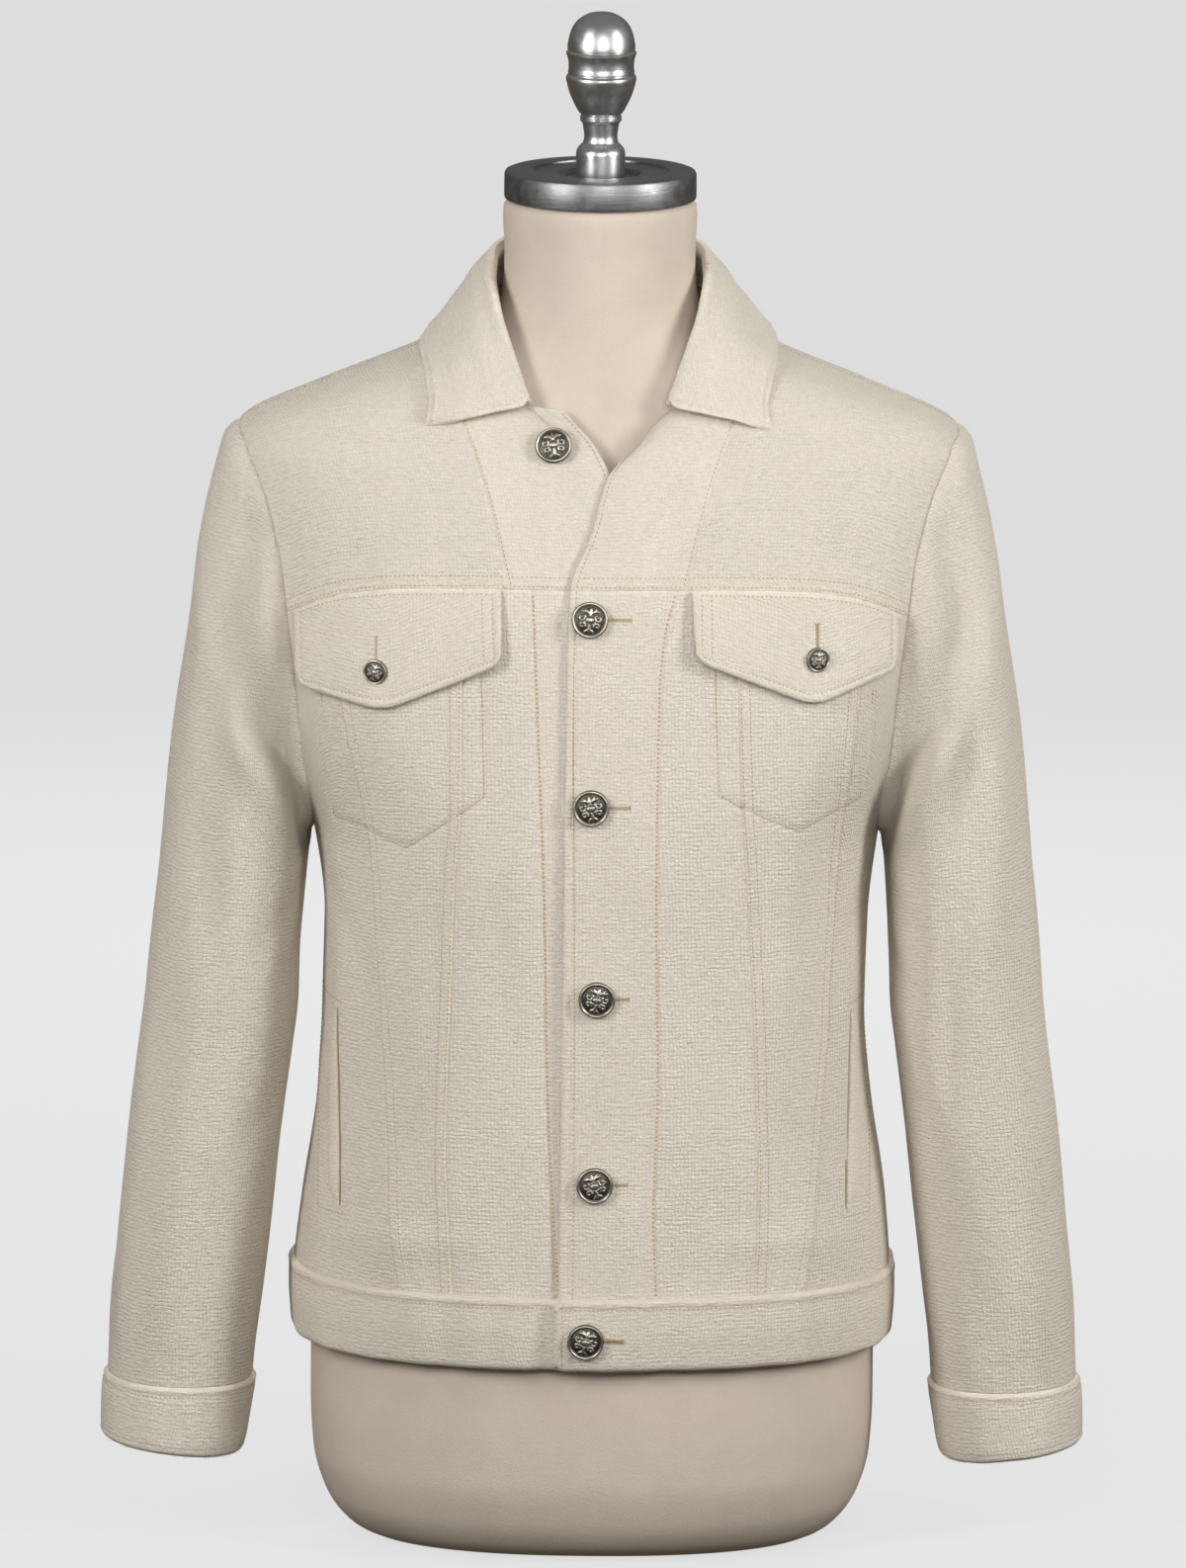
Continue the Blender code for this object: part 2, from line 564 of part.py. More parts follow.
def ring_angles(points, row):
    """Section angles at which an ideal ring best matches the armhole's points."""
    outer_x, outer_z, inner_x, inner_z, depth, centre_y = row
    axis = np.array([outer_x - inner_x, outer_z - inner_z]) / 2.0
    centre = np.array([outer_x + inner_x, outer_z + inner_z]) / 2.0
    across = ((points[:, [0, 2]] - centre) @ axis) / (axis @ axis)
    ahead = (centre_y - points[:, 1]) / depth
    angle = np.arctan2(ahead, across)
    angle = np.unwrap(angle - angle[0])
    even = np.linspace(0.0, 2.0 * math.pi, len(points), endpoint=False)
    return 0.35 * angle + 0.65 * even


def fold_depth(angle, z):
    """Depth of the sleeve's largest folds: a diagonal trough from the front of the armhole to
    the underarm, and soft upright ones down the arm."""
    turn = np.degrees(angle)
    rows = np.array(ARM_FOLD)
    line = smooth_table(z, rows[:, 0], rows[:, 1])
    trough = ARM_FOLD_DEPTH * np.exp(-((turn - line) / ARM_FOLD_WIDTH) ** 2)
    trough = trough * np.exp(-((z - 0.525) / 0.090) ** 2)
    upright = 0.0022 * np.sin(np.radians(2.6 * turn) + 14.0 * z) * smooth_step((0.62 - z) / 0.12)
    return trough + upright * smooth_step((z - 0.105) / 0.06)


def sleeve_grid():
    """Outer surface of the +X sleeve, and its wall directions at the armhole."""
    loop = armhole_loop()
    armhole = body_point(loop[:, 0], loop[:, 1])
    first = SLEEVE_ROWS[0]
    ideal = (SHOULDER_X, 0.7165, 0.1780, UNDERARM_Z, 0.0690, -0.0040)
    angle = ring_angles(armhole, ideal)
    offset = armhole - ring_point(ideal, angle)
    rings = [armhole]
    for k, row in enumerate(SLEEVE_ROWS):
        fade = (0.80, 0.50, 0.22, 0.06)[k] if k < 4 else 0.0
        rings.append(ring_point(row, angle) + fade * offset)
    grid = np.stack(rings)
    normal = grid_normals(grid, ring=True)
    depth = fold_depth(angle[None, :], grid[..., 2])
    depth[0] = 0.0
    depth[1] *= 0.3
    grid = grid - depth[..., None] * normal
    normal = grid_normals(grid, ring=True)
    seam = body_normal(loop[:, 0], loop[:, 1]) + normal[0]
    seam /= np.linalg.norm(seam, axis=-1, keepdims=True)
    normal[0] = seam
    return grid, normal, angle, first


def grid_normals(grid, ring=False):
    """Unit normals of a (rows, columns, 3) grid that face out of a right-handed tube."""
    if ring:
        across = np.roll(grid, -1, axis=1) - np.roll(grid, 1, axis=1)
    else:
        across = np.gradient(grid, axis=1)
    down = np.gradient(grid, axis=0)
    normal = np.cross(across, down)
    normal /= np.linalg.norm(normal, axis=-1, keepdims=True)
    centre = grid.mean(axis=1, keepdims=True)
    if np.sum(normal * (grid - centre)) < 0.0:
        normal = -normal
    return normal


def flip_x(grid):
    """Mirror points or directions across the centre plane."""
    return grid * np.array([-1.0, 1.0, 1.0])


def build_sleeves(collection, material, parent):
    """Each sleeve is a top and an under piece, joined at the underarm and down the back."""
    grid, normal, _, _ = sleeve_grid()
    count = grid.shape[1]
    under_front = CELLS_ARM_UPPER + CELLS_ARM_LOWER
    under_back = under_front + CELLS_ARM_LOWER
    outer = inset_border(grid, SEAM_GAP / 2.0, ring=True)
    inner = inset_border(grid - WALL * normal, SEAM_GAP / 2.0, ring=True)
    columns = {
        "under_sleeve": np.arange(under_front, under_back + 1),
        "top_sleeve": np.arange(under_back, under_front + count + 1) % count,
    }
    for side in ("left", "right"):
        for piece, chosen in columns.items():
            skin, lining = outer[:, chosen], inner[:, chosen]
            for edge in (skin, lining):
                for end, near in ((0, 1), (-1, -2)):
                    step = edge[:, near] - edge[:, end]
                    edge[:, end] += (SEAM_GAP / 2.0) * step / np.linalg.norm(
                        step, axis=-1, keepdims=True)
            if side == "right":
                skin, lining = flip_x(skin), flip_x(lining)
            name = f"{piece}_{side}"
            new_object(name, wall_mesh(name, skin, lining), collection, material, parent)


def build_cuffs(collection, material, parent):
    """A padded ring at the foot of each sleeve."""
    angle = np.linspace(0.0, 2.0 * math.pi, 22, endpoint=False)
    outer = np.stack([ring_point(row, angle) for row in CUFF_ROWS])
    inner = []
    for row in CUFF_ROWS:
        thin = BAND_WALL if row not in (CUFF_ROWS[0], CUFF_ROWS[-1]) else BAND_WALL - 0.0012
        inner.append(ring_point((row[0] - thin, row[1], row[2] + thin, row[3],
                                 row[4] - thin, row[5]), angle))
    inner = np.stack(inner)
    for side in ("left", "right"):
        name = f"cuff_{side}"
        skin, lining = (outer, inner) if side == "left" else (flip_x(outer), flip_x(inner))
        new_object(name, wall_mesh(name, skin, lining, ring=True), collection, material, parent)


# ---------------------------------------------------------------- body pieces
def armhole_normals(loop_normals, side, part):
    """Wall directions shared with the sleeve, for the armhole points of one piece."""
    low, high = CELLS_ARM_LOWER, CELLS_ARM_UPPER
    count = len(loop_normals)
    index = {
        "front_upper": np.arange(high, -1, -1),
        "front_lower": np.arange(high + low, high - 1, -1),
        "back_lower": np.arange(high + low, high + 2 * low + 1),
        "back_upper": np.arange(high + 2 * low, count + 1) % count,
    }[part]
    vectors = loop_normals[index]
    return vectors if side == "left" else flip_x(vectors)


def build_front(side, loop_normals, collection, material, parent):
    """The seven pieces of one front."""
    sign = 1.0 if side == "left" else -1.0
    seam = front_seams(side)

    def lift(x):
        return front_lift(side, x)

    band_x = sign * BAND_SEAM[side][-1][1]
    flare_x = sign * FLARE_X
    inner_x = sign * INNER_SEAM[side][-1][1]
    outer_x = sign * OUTER_SEAM[side][-1][1]
    edge_x = FRONT_EDGE[side][0][1]
    edge_top = float(body_point(*seam["edge"][-1])[0])
    armhole_x = float(body_point(*seam["side"][-1])[0])
    stretch = {
        "band": yoke_line(side, edge_top, band_x, 4),
        "step": yoke_line(side, band_x, flare_x, 1),
        "inner": yoke_line(side, flare_x, inner_x, 1),
        "middle": yoke_line(side, inner_x, outer_x, 4),
        "side": yoke_line(side, outer_x, armhole_x, 2),
    }
    stretch["side"][-1] = seam["side"][-1]
    foot = {
        "band": (edge_x, sign * BAND_SEAM[side][0][1], 4),
        "inner": (sign * BAND_SEAM[side][0][1], sign * INNER_SEAM[side][0][1], 2),
        "middle": (sign * INNER_SEAM[side][0][1], sign * OUTER_SEAM[side][0][1], 4),
    }

    def waist(x_from, x_to, cells):
        x = np.linspace(x_from, x_to, cells + 1)
        z = np.full_like(x, WAIST_Z)
        return np.stack([angle_of_x(x, z), z], -1)

    last = np.linspace(seam["outer"][0, 0], seam["side"][0, 0], 3)
    side_foot = np.stack([last, np.full_like(last, WAIST_Z)], -1)
    low_rows = slice(CELLS_LOWER, None)
    pieces = {
        "front_band": (coons(waist(*foot["band"]), stretch["band"], seam["edge"],
                             seam["band"]), None),
        "front_inner_panel": (coons(waist(*foot["inner"]),
                                    joined(stretch["step"], stretch["inner"]),
                                    seam["band"], seam["inner"]), None),
        "front_middle_panel": (coons(waist(*foot["middle"]), stretch["middle"],
                                     seam["inner"], seam["outer"]), None),
        "front_side_panel": (coons(side_foot, stretch["side"], seam["outer"], seam["side"]),
                             (((low_rows, -1), armhole_normals(loop_normals, side,
                                                               "front_lower")),)),
    }
    shoulder = seam["shoulder"]
    corner = np.stack([seam["neck"][-1], shoulder[0]])
    yoke_foot = joined(stretch["inner"], stretch["middle"], stretch["side"])
    normals = armhole_normals(loop_normals, side, "front_upper")
    pieces["front_yoke"] = (coons(yoke_foot, shoulder, seam["flare"], seam["armhole"]),
                            (((slice(None), -1), normals),))
    band_top = joined(seam["neck"], corner)
    band_foot = joined(stretch["band"], stretch["step"])
    pieces["upper_front_band"] = (coons(band_foot, band_top, seam["opening"], seam["flare"]),
                                  None)
    for piece, (patch, edge_normals) in pieces.items():
        name = f"{piece}_{side}"
        mesh = body_panel(name, patch, lift, edge_normals)
        new_object(name, mesh, collection, material, parent)


def build_back(loop_normals, collection, material, parent):
    """Back panel and back yoke, each one piece from side to side."""
    left = side_edge(2)
    right = mirrored(left) + np.array([2.0 * math.pi, 0.0])
    shoulder = shoulder_stations()[::-1]
    neck_angle = np.linspace(math.pi / 2.0, 1.5 * math.pi, 160)
    fold = np.where(neck_angle > math.pi, 2.0 * math.pi - neck_angle, neck_angle)
    neck = resample(np.stack([neck_angle, neckline_height(fold)], -1), CELLS_NECK_BACK)
    link = np.stack([shoulder[-1], neck[0]])

    def turned(path):
        return (mirrored(path) + np.array([2.0 * math.pi, 0.0]))[::-1]

    top = joined(shoulder, link, neck, turned(link), turned(shoulder))
    count = len(top) - 1
    angle = np.linspace(left[-1, 0], right[-1, 0], count + 1)
    drop = np.abs(angle - math.pi) / (right[-1, 0] - math.pi)
    seam = np.stack([angle, BACK_YOKE_Z + (YOKE_ARMHOLE_Z - BACK_YOKE_Z) * drop ** 2], -1)
    seam = resample_even(seam)
    hem_angle = np.linspace(math.pi / 2.0, 1.5 * math.pi, count + 1)
    hem = np.stack([hem_angle, np.full_like(hem_angle, WAIST_Z)], -1)
    hem = resample_even(hem)
    lower = armhole_normals(loop_normals, "left", "back_lower")
    upper = armhole_normals(loop_normals, "left", "back_upper")
    low_rows = slice(CELLS_LOWER, None)
    back = body_panel("back_panel", coons(hem, seam, left, right), None,
                      (((low_rows, 0), lower), ((low_rows, -1), flip_x(lower))))
    new_object("back_panel", back, collection, material, parent)
    arm_left = upper_armhole(2)
    arm_right = mirrored(arm_left) + np.array([2.0 * math.pi, 0.0])
    yoke = body_panel("back_yoke", coons(seam, top, arm_left, arm_right), None,
                      (((slice(None), 0), upper), ((slice(None), -1), flip_x(upper))))
    new_object("back_yoke", yoke, collection, material, parent)


def resample_even(path):
    """The same number of points, evenly spaced by length."""
    fine = np.linspace(0, len(path) - 1, 40 * len(path))
    dense = np.stack([np.interp(fine, np.arange(len(path)), path[:, k]) for k in (0, 1)], -1)
    return resample(dense, len(path) - 1)


def build_waistband(collection, material, parent):
    """One padded strip round the hem; its lapping end lies over its under end at the front."""
    under_x, over_x = WAISTBAND_ENDS
    start = float(angle_of_x(under_x, WAIST_Z))
    end = float(angle_of_x(over_x, WAIST_Z))
    angle = np.linspace(start, end - 2.0 * math.pi, 55)
    travel = np.abs(angle - start)
    reach = abs(end - 2.0 * math.pi - start)
    lift = WAISTBAND_LIFT * (smooth_step((travel - reach + 0.52) / 0.10)
                             - smooth_step((0.52 - travel) / 0.10))
    outer, inner = [], []
    for rise, out in WAISTBAND_ROWS:
        z = np.full_like(angle, HEM_Z + rise)
        point, normal = body_point(angle, z), body_normal(angle, z)
        normal[:, 2] = 0.0
        normal /= np.linalg.norm(normal, axis=-1, keepdims=True)
        thin = BAND_WALL if 0.001 < rise < 0.045 else BAND_WALL - 0.0014
        outer.append(point + (out + lift)[:, None] * normal)
        inner.append(outer[-1] - thin * normal)
    mesh = wall_mesh("waistband", np.stack(outer), np.stack(inner))
    new_object("waistband", mesh, collection, material, parent)


# ---------------------------------------------------------------- collar
def collar_section(row, sign):
    """Centre line of the folded collar cloth at one station, from the neckline to the edge."""
    angle, roll_r, roll_z, seam_z, edge_angle, edge_z = row
    turn = math.radians(angle) * sign
    edge_turn = math.radians(edge_angle) * sign
    seam = body_point(turn, seam_z) - 0.5 * WALL * body_normal(turn, seam_z)
    seam = seam + np.array([0.0, 0.0, COLLAR_RISE])
    out = np.array([math.sin(turn), -math.cos(turn), 0.0])
    up = np.array([0.0, 0.0, 1.0])
    roll = roll_r * out + roll_z * up
    edge = body_point(edge_turn, edge_z) + 0.0034 * body_normal(edge_turn, edge_z)
    fold_in = roll - 0.0020 * out - 0.0028 * up
    fold_out = roll + 0.0022 * out - 0.0028 * up
    stand = 0.5 * (seam + fold_in) - 0.0006 * out
    points = [seam, stand, fold_in, roll, fold_out]
    for t in (0.3, 0.65, 1.0):
        point = fold_out + t * (edge - fold_out) + 0.0045 * math.sin(math.pi * t) * out
        around = math.atan2(point[0], -point[1])
        skin = body_point(around, point[2]) + 0.0034 * body_normal(around, point[2])
        reach = math.hypot(point[0], point[1])
        needed = math.hypot(skin[0], skin[1])
        if reach < needed:
            point[:2] *= needed / reach
        points.append(point)
    return np.stack(points)


def build_collar(collection, material, parent):
    """Stand and fall in one folded sheet from front end to front end."""
    rows = np.array(COLLAR_ROWS)
    stations = np.concatenate([[30.0, 33.5, 38.0, 43.0, 48.5, 56.0, 65.0, 77.0],
                               np.linspace(90.0, 180.0, 7)])
    columns = []
    for sign in (-1.0, 1.0):
        chosen = stations if sign < 0.0 else stations[-2::-1]
        for station in chosen:
            row = [smooth_table(station, rows[:, 0], rows[:, k]) for k in range(6)]
            columns.append(collar_section([float(value) for value in row], sign))
    centre = np.stack(columns, axis=1)
    across = np.gradient(centre, axis=1)
    along = np.gradient(centre, axis=0)
    normal = np.cross(along, across)
    normal /= np.linalg.norm(normal, axis=-1, keepdims=True)
    half = WALL / 2.0
    mesh = wall_mesh("collar", centre + half * normal, centre - half * normal)
    new_object("collar", mesh, collection, material, parent)


# ---------------------------------------------------------------- applied pieces
def applied_piece(name, patch, clear, wall):
    """Wall of a piece that lies on the panels, from its (angle, z) patch."""
    angle, z = patch[..., 0], patch[..., 1]
    point, normal = body_point(angle, z), body_normal(angle, z)
    return wall_mesh(name, point + (clear + wall) * normal, point + clear * normal)


def polyline(points, cells):
    """Signed (x, z) corner points to an (angle, z) run with the given cells per stretch."""
    run = []
    for (x0, z0), (x1, z1), count in zip(points[:-1], points[1:], cells):
        t = np.linspace(0.0, 1.0, count, endpoint=False)
        run.append(np.stack([x0 + (x1 - x0) * t, z0 + (z1 - z0) * t], -1))
    run.append(np.array([points[-1]]))
    xz = np.concatenate(run)
    return np.stack([angle_of_x(xz[:, 0], xz[:, 1]), xz[:, 1]], -1)


def build_flaps(collection, material, parent):
    """Pointed chest flaps hanging from the yoke seams, and their top edges in the seam."""
    for side, sign in (("left", 1.0), ("right", -1.0)):
        flap = FLAPS[side]
        top_x = np.array(flap["top"])
        inner, point, outer = flap["inner"], flap["point"], flap["outer"]
        top = yoke_line(side, sign * top_x[0], sign * top_x[1], 8)
        top[:, 1] -= 0.0012
        bottom = polyline([(sign * inner[0], inner[1]), (sign * point[0], point[1]),
                           (sign * outer[0], outer[1])], (5, 3))
        start = np.stack([bottom[0] + (top[0] - bottom[0]) * t for t in np.linspace(0, 1, 4)])
        end = np.stack([bottom[-1] + (top[-1] - bottom[-1]) * t for t in np.linspace(0, 1, 4)])
        name = f"chest_flap_{side}"
        mesh = applied_piece(name, coons(bottom, top, start, end), LAP_CLEAR, FLAP_WALL)
        new_object(name, mesh, collection, material, parent)


def build_welts(collection, material, parent):
    """Upright welt lip of the pocket slit on each side panel."""
    low, high = WELT["z"]
    z = np.linspace(low, high, 7)
    for side, sign in (("left", 1.0), ("right", -1.0)):
        near, far = WELT["x"] - WELT["width"] / 2.0, WELT["x"] + WELT["width"] / 2.0
        x = np.linspace(near, far, 3)
        grid_x, grid_z = np.meshgrid(sign * x, z)
        patch = np.stack([angle_of_x(grid_x, grid_z), grid_z], -1)
        name = f"pocket_welt_{side}"
        mesh = applied_piece(name, patch, LAP_CLEAR - 0.0003, WALL)
        new_object(name, mesh, collection, material, parent)


def turned_mesh_object(name, profile, steps, collection, material, parent):
    """A profile at +X, top to bottom, swept a full turn about Z."""
    mesh = bpy.data.meshes.new(name)
    vertices = [(radius, 0.0, height) for radius, height in profile]
    edges = [(k, k + 1) for k in range(len(profile) - 1)]
    mesh.from_pydata(vertices, edges, [])
    obj = new_object(name, mesh, collection, material, parent)
    screw = obj.modifiers.new("Screw", "SCREW")
    screw.angle = 2.0 * math.pi
    screw.steps = steps
    screw.render_steps = steps
    screw.use_merge_vertices = True
    screw.merge_threshold = 0.00001
    screw.use_smooth_shade = True
    return obj


def build_buttons(collection, material, parent):
    """Domed buttons with a raised rim, square to the cloth under them."""
    for name, x, z, radius, out in BUTTONS:
        angle = float(angle_of_x(x, z))
        normal = body_normal(angle, z)
        place = body_point(angle, z) + out * normal
        profile = [(radius * r, radius * h) for r, h in BUTTON_PROFILE]
        obj = turned_mesh_object(name, profile, 14, collection, material, parent)
        obj.location = Vector(place.tolist())
        obj.rotation_mode = "QUATERNION"
        obj.rotation_quaternion = Vector(normal.tolist()).to_track_quat("Z", "Y")


# ---------------------------------------------------------------- dress form
def build_form(collection, material, parent):
    """Closed loft of the torso and neck, flat underneath and on top."""
    angle = np.linspace(0.0, 2.0 * math.pi, FORM_SEGMENTS, endpoint=False)
    rings = []
    for row in FORM_ROWS:
        z = np.full_like(angle, row[0])
        rings.append(section_point(FORM_ROWS, angle, z))
    grid = np.stack(rings)
    rows, columns = grid.shape[:2]
    index = np.arange(rows * columns).reshape(rows, columns)
    wrapped = np.concatenate([index, index[:, :1]], axis=1)
    quads = np.stack([wrapped[:-1, :-1], wrapped[:-1, 1:], wrapped[1:, 1:], wrapped[1:, :-1]],
                     -1).reshape(-1, 4).tolist()
    faces = quads + [index[0, ::-1].tolist(), index[-1].tolist()]
    mesh = bpy.data.meshes.new("dress_form")
    mesh.from_pydata(grid.reshape(-1, 3).tolist(), [], faces)
    face_outward(mesh)
    new_object("dress_form", mesh, collection, material, parent)


def new_material(name, colour, roughness, metallic=0.0):
    """A plain surface with a colour, roughness and metallic value."""
    material = bpy.data.materials.new(name)
    material.use_nodes = True
    shader = material.node_tree.nodes["Principled BSDF"]
    shader.inputs["Base Color"].default_value = (*colour, 1.0)
    shader.inputs["Roughness"].default_value = roughness
    shader.inputs["Metallic"].default_value = metallic
    material.diffuse_color = (*colour, 1.0)
    return material


def main():
    """Build the jacket and the form it is worn on."""
    for obj in list(bpy.data.objects):
        bpy.data.objects.remove(obj, do_unlink=True)
    collection = bpy.data.collections.new("jacket_on_form")
    bpy.context.scene.collection.children.link(collection)
    garment = bpy.data.objects.new("jacket", None)
    stand = bpy.data.objects.new("form", None)
    for empty in (garment, stand):
        collection.objects.link(empty)

    cloth = new_material("cream_cloth", CREAM, 0.9)
    silver = new_material("antique_silver", SILVER, 0.4, 1.0)
    grid, normal, _, _ = sleeve_grid()
    loop_normals = normal[0]
    for side in ("left", "right"):
        build_front(side, loop_normals, collection, cloth, garment)
    build_back(loop_normals, collection, cloth, garment)
    build_waistband(collection, cloth, garment)
    build_sleeves(collection, cloth, garment)
    build_cuffs(collection, cloth, garment)
    build_collar(collection, cloth, garment)
    build_flaps(collection, cloth, garment)
    build_welts(collection, cloth, garment)
    build_buttons(collection, silver, garment)

    build_form(collection, new_material("form_canvas", CANVAS, 0.85), stand)
    turned_mesh_object("neck_cap", CAP_PROFILE, 32, collection,
                       new_material("brushed_aluminium", ALUMINIUM, 0.35, 1.0), stand)
    turned_mesh_object("finial", FINIAL_PROFILE, 20, collection,
                       new_material("turned_metal", POLISHED_METAL, 0.2, 1.0), stand)


main()
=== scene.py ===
"""A trucker-cut jacket of cream waffle cloth on a limbless dress form, dressed for its picture.

Every cloth piece is a thin closed shell on the same surfaces as the frame's solids, moved by soft
folds laid one by one, with rolled seams, felled ridges and turned edges pressed into its border.
"""

import logging
import math
from dataclasses import dataclass, field
from enum import Enum

import bpy
import numpy as np
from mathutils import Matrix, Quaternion, Vector


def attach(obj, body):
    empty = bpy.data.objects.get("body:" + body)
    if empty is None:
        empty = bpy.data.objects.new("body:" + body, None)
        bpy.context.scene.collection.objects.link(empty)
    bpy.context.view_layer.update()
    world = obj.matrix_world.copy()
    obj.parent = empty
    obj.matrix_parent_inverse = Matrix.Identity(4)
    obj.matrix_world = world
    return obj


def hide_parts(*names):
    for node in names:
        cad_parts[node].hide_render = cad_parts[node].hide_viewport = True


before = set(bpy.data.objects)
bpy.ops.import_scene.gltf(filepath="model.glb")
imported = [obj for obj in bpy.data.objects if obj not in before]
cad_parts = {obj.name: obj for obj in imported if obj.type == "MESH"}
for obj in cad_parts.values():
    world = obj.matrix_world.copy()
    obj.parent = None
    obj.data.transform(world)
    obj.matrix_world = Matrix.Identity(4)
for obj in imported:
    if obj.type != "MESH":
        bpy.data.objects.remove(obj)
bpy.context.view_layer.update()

LOG = logging.getLogger("jacket")
Array = np.ndarray
Material = bpy.types.Material
FULL_TURN = 2.0 * math.pi
SIDES = {"left": 1.0, "right": -1.0}

# ---------------------------------------------------------------- sizes shared with the frame
HEM_Z = 0.1320
WAIST_Z = 0.1780
UNDERARM_Z = 0.4550
SHOULDER_TOP_Z = 0.7165
SHOULDER_SPLIT_X = 0.1035
SHOULDER_X = 0.2245
YOKE_ARMHOLE_Z = 0.6030
BACK_YOKE_Z = 0.6120
LOWER_SHARE = 0.625        # share of a front's height that lies below the underarm
OVERLAP_LIFT = 0.00135     # of the upper front where the two lap
CLOTH_WALL = 0.0017
DOUBLED_WALL = 0.0030      # of collar, cuffs and waistband
EDGE_ROW = 0.0042          # stitch row of a turned edge, from the edge
BODY_REACH = 0.155         # cloth to a radian round the body
SLEEVE_REACH = 0.055       # cloth to a radian round a sleeve
FELLED_ROWS = (0.0018, 0.0074)   # stitch rows of a felled seam, from the seam
SEAM_BLEND = 0.0060        # over which walls turn to the direction they share at an armhole
OPENING_X = 0.0180         # where the fronts' free edges meet the yoke seam
# Stations round the armhole, from the shoulder down its front and up its back
FRONT_YOKE_Q, UNDERARM_Q, BACK_YOKE_Q, ROUND_Q = 5.0, 11.0, 17.0, 22.0
LOWER_ARM_Q = UNDERARM_Q - FRONT_YOKE_Q

# Height, half width, front depth, back depth, exponent of the jacket's body
BODY_ROWS = (
    (0.118, 0.1860, 0.1270, 0.1120, 2.40),
    (0.132, 0.1875, 0.1290, 0.1140, 2.40),
    (0.178, 0.1890, 0.1310, 0.1160, 2.40),
    (0.215, 0.1860, 0.1305, 0.1140, 2.40),
    (0.285, 0.1760, 0.1290, 0.1080, 2.40),
    (0.345, 0.1720, 0.1285, 0.1055, 2.40),
    (0.400, 0.1720, 0.1290, 0.1070, 2.40),
    (0.455, 0.1780, 0.1300, 0.1120, 2.40),
    (0.530, 0.2080, 0.1275, 0.1195, 2.40),
    (0.606, 0.2230, 0.1215, 0.1235, 2.35),
    (0.660, 0.2330, 0.1090, 0.1210, 2.30),
    (0.698, 0.2370, 0.0950, 0.1110, 2.25),
    (0.7165, 0.2245, 0.0860, 0.1020, 2.20),
    (0.740, 0.1740, 0.0765, 0.0910, 2.20),
    (0.767, 0.1085, 0.0710, 0.0820, 2.15),
    (0.785, 0.0810, 0.0690, 0.0765, 2.10),
    (0.805, 0.0720, 0.0680, 0.0730, 2.05),
)
# Height and distance from the centre line of each front's upright seams
BAND_SEAM = {
    "left": ((0.178, 0.041), (0.232, 0.039), (0.314, 0.041), (0.441, 0.039), (0.560, 0.040),
             (0.600, 0.043), (0.628, 0.050)),
    "right": ((0.178, 0.022), (0.232, 0.026), (0.314, 0.030), (0.441, 0.033), (0.535, 0.037),
              (0.628, 0.041)),
}
INNER_SEAM = {
    "left": ((0.178, 0.102), (0.249, 0.103), (0.312, 0.101), (0.452, 0.094), (0.492, 0.091),
             (0.628, 0.086)),
    "right": ((0.178, 0.088), (0.280, 0.092), (0.387, 0.089), (0.451, 0.087), (0.489, 0.084),
              (0.628, 0.084)),
}
OUTER_SEAM = {
    "left": ((0.178, 0.134), (0.238, 0.142), (0.306, 0.146), (0.444, 0.154), (0.548, 0.163),
             (0.622, 0.168)),
    "right": ((0.178, 0.123), (0.232, 0.129), (0.275, 0.131), (0.381, 0.137), (0.469, 0.145),
              (0.553, 0.160), (0.622, 0.166)),
}
# Height and signed x of each front's free edge
FRONT_EDGE = {
    "left": ((0.178, -0.0205), (0.400, -0.0190), (0.550, -0.0180), (0.628, -0.0160),
             (0.663, -0.0030), (0.697, 0.0070), (0.712, 0.0210), (0.727, 0.0340),
             (0.7385, 0.0480)),
    "right": ((0.178, 0.0260), (0.550, 0.0240), (0.628, 0.0220), (0.663, 0.0170),
              (0.697, 0.0070), (0.715, -0.0030), (0.728, -0.0150), (0.7355, -0.0220)),
}
# Distance from the centre line and height of the front yoke seam
YOKE_SEAM = ((0.000, 0.6280), (0.060, 0.6285), (0.120, 0.6265), (0.160, 0.6205), (0.200, 0.6020))
# Height and distance from the centre line of the seam between upper front band and yoke
FLARE_SEAM = ((0.6285, 0.0550), (0.660, 0.0625), (0.690, 0.0710), (0.722, 0.0830),
              (0.745, 0.0930), (0.760, 0.0995), (0.7695, 0.1035))
# Height, front y and back y of the armhole
ARMHOLE_ROWS = (
    (0.7165, 0.0000, 0.0000), (0.7070, -0.0330, 0.0310), (0.6850, -0.0510, 0.0480),
    (0.6560, -0.0620, 0.0570), (0.6300, -0.0680, 0.0610), (0.6030, -0.0700, 0.0620),
    (0.5560, -0.0720, 0.0600), (0.5300, -0.0700, 0.0560), (0.5000, -0.0600, 0.0490),
    (0.4730, -0.0400, 0.0340), (0.4590, -0.0190, 0.0170), (0.4550, 0.0000, 0.0000),
)
# Angle from the front in degrees and height of the neckline seam
NECKLINE = ((20.0, 0.7360), (30.0, 0.7375), (45.0, 0.7510), (60.0, 0.7655), (75.0, 0.7765),
            (90.0, 0.7850), (120.0, 0.7920), (150.0, 0.7970), (180.0, 0.7990))
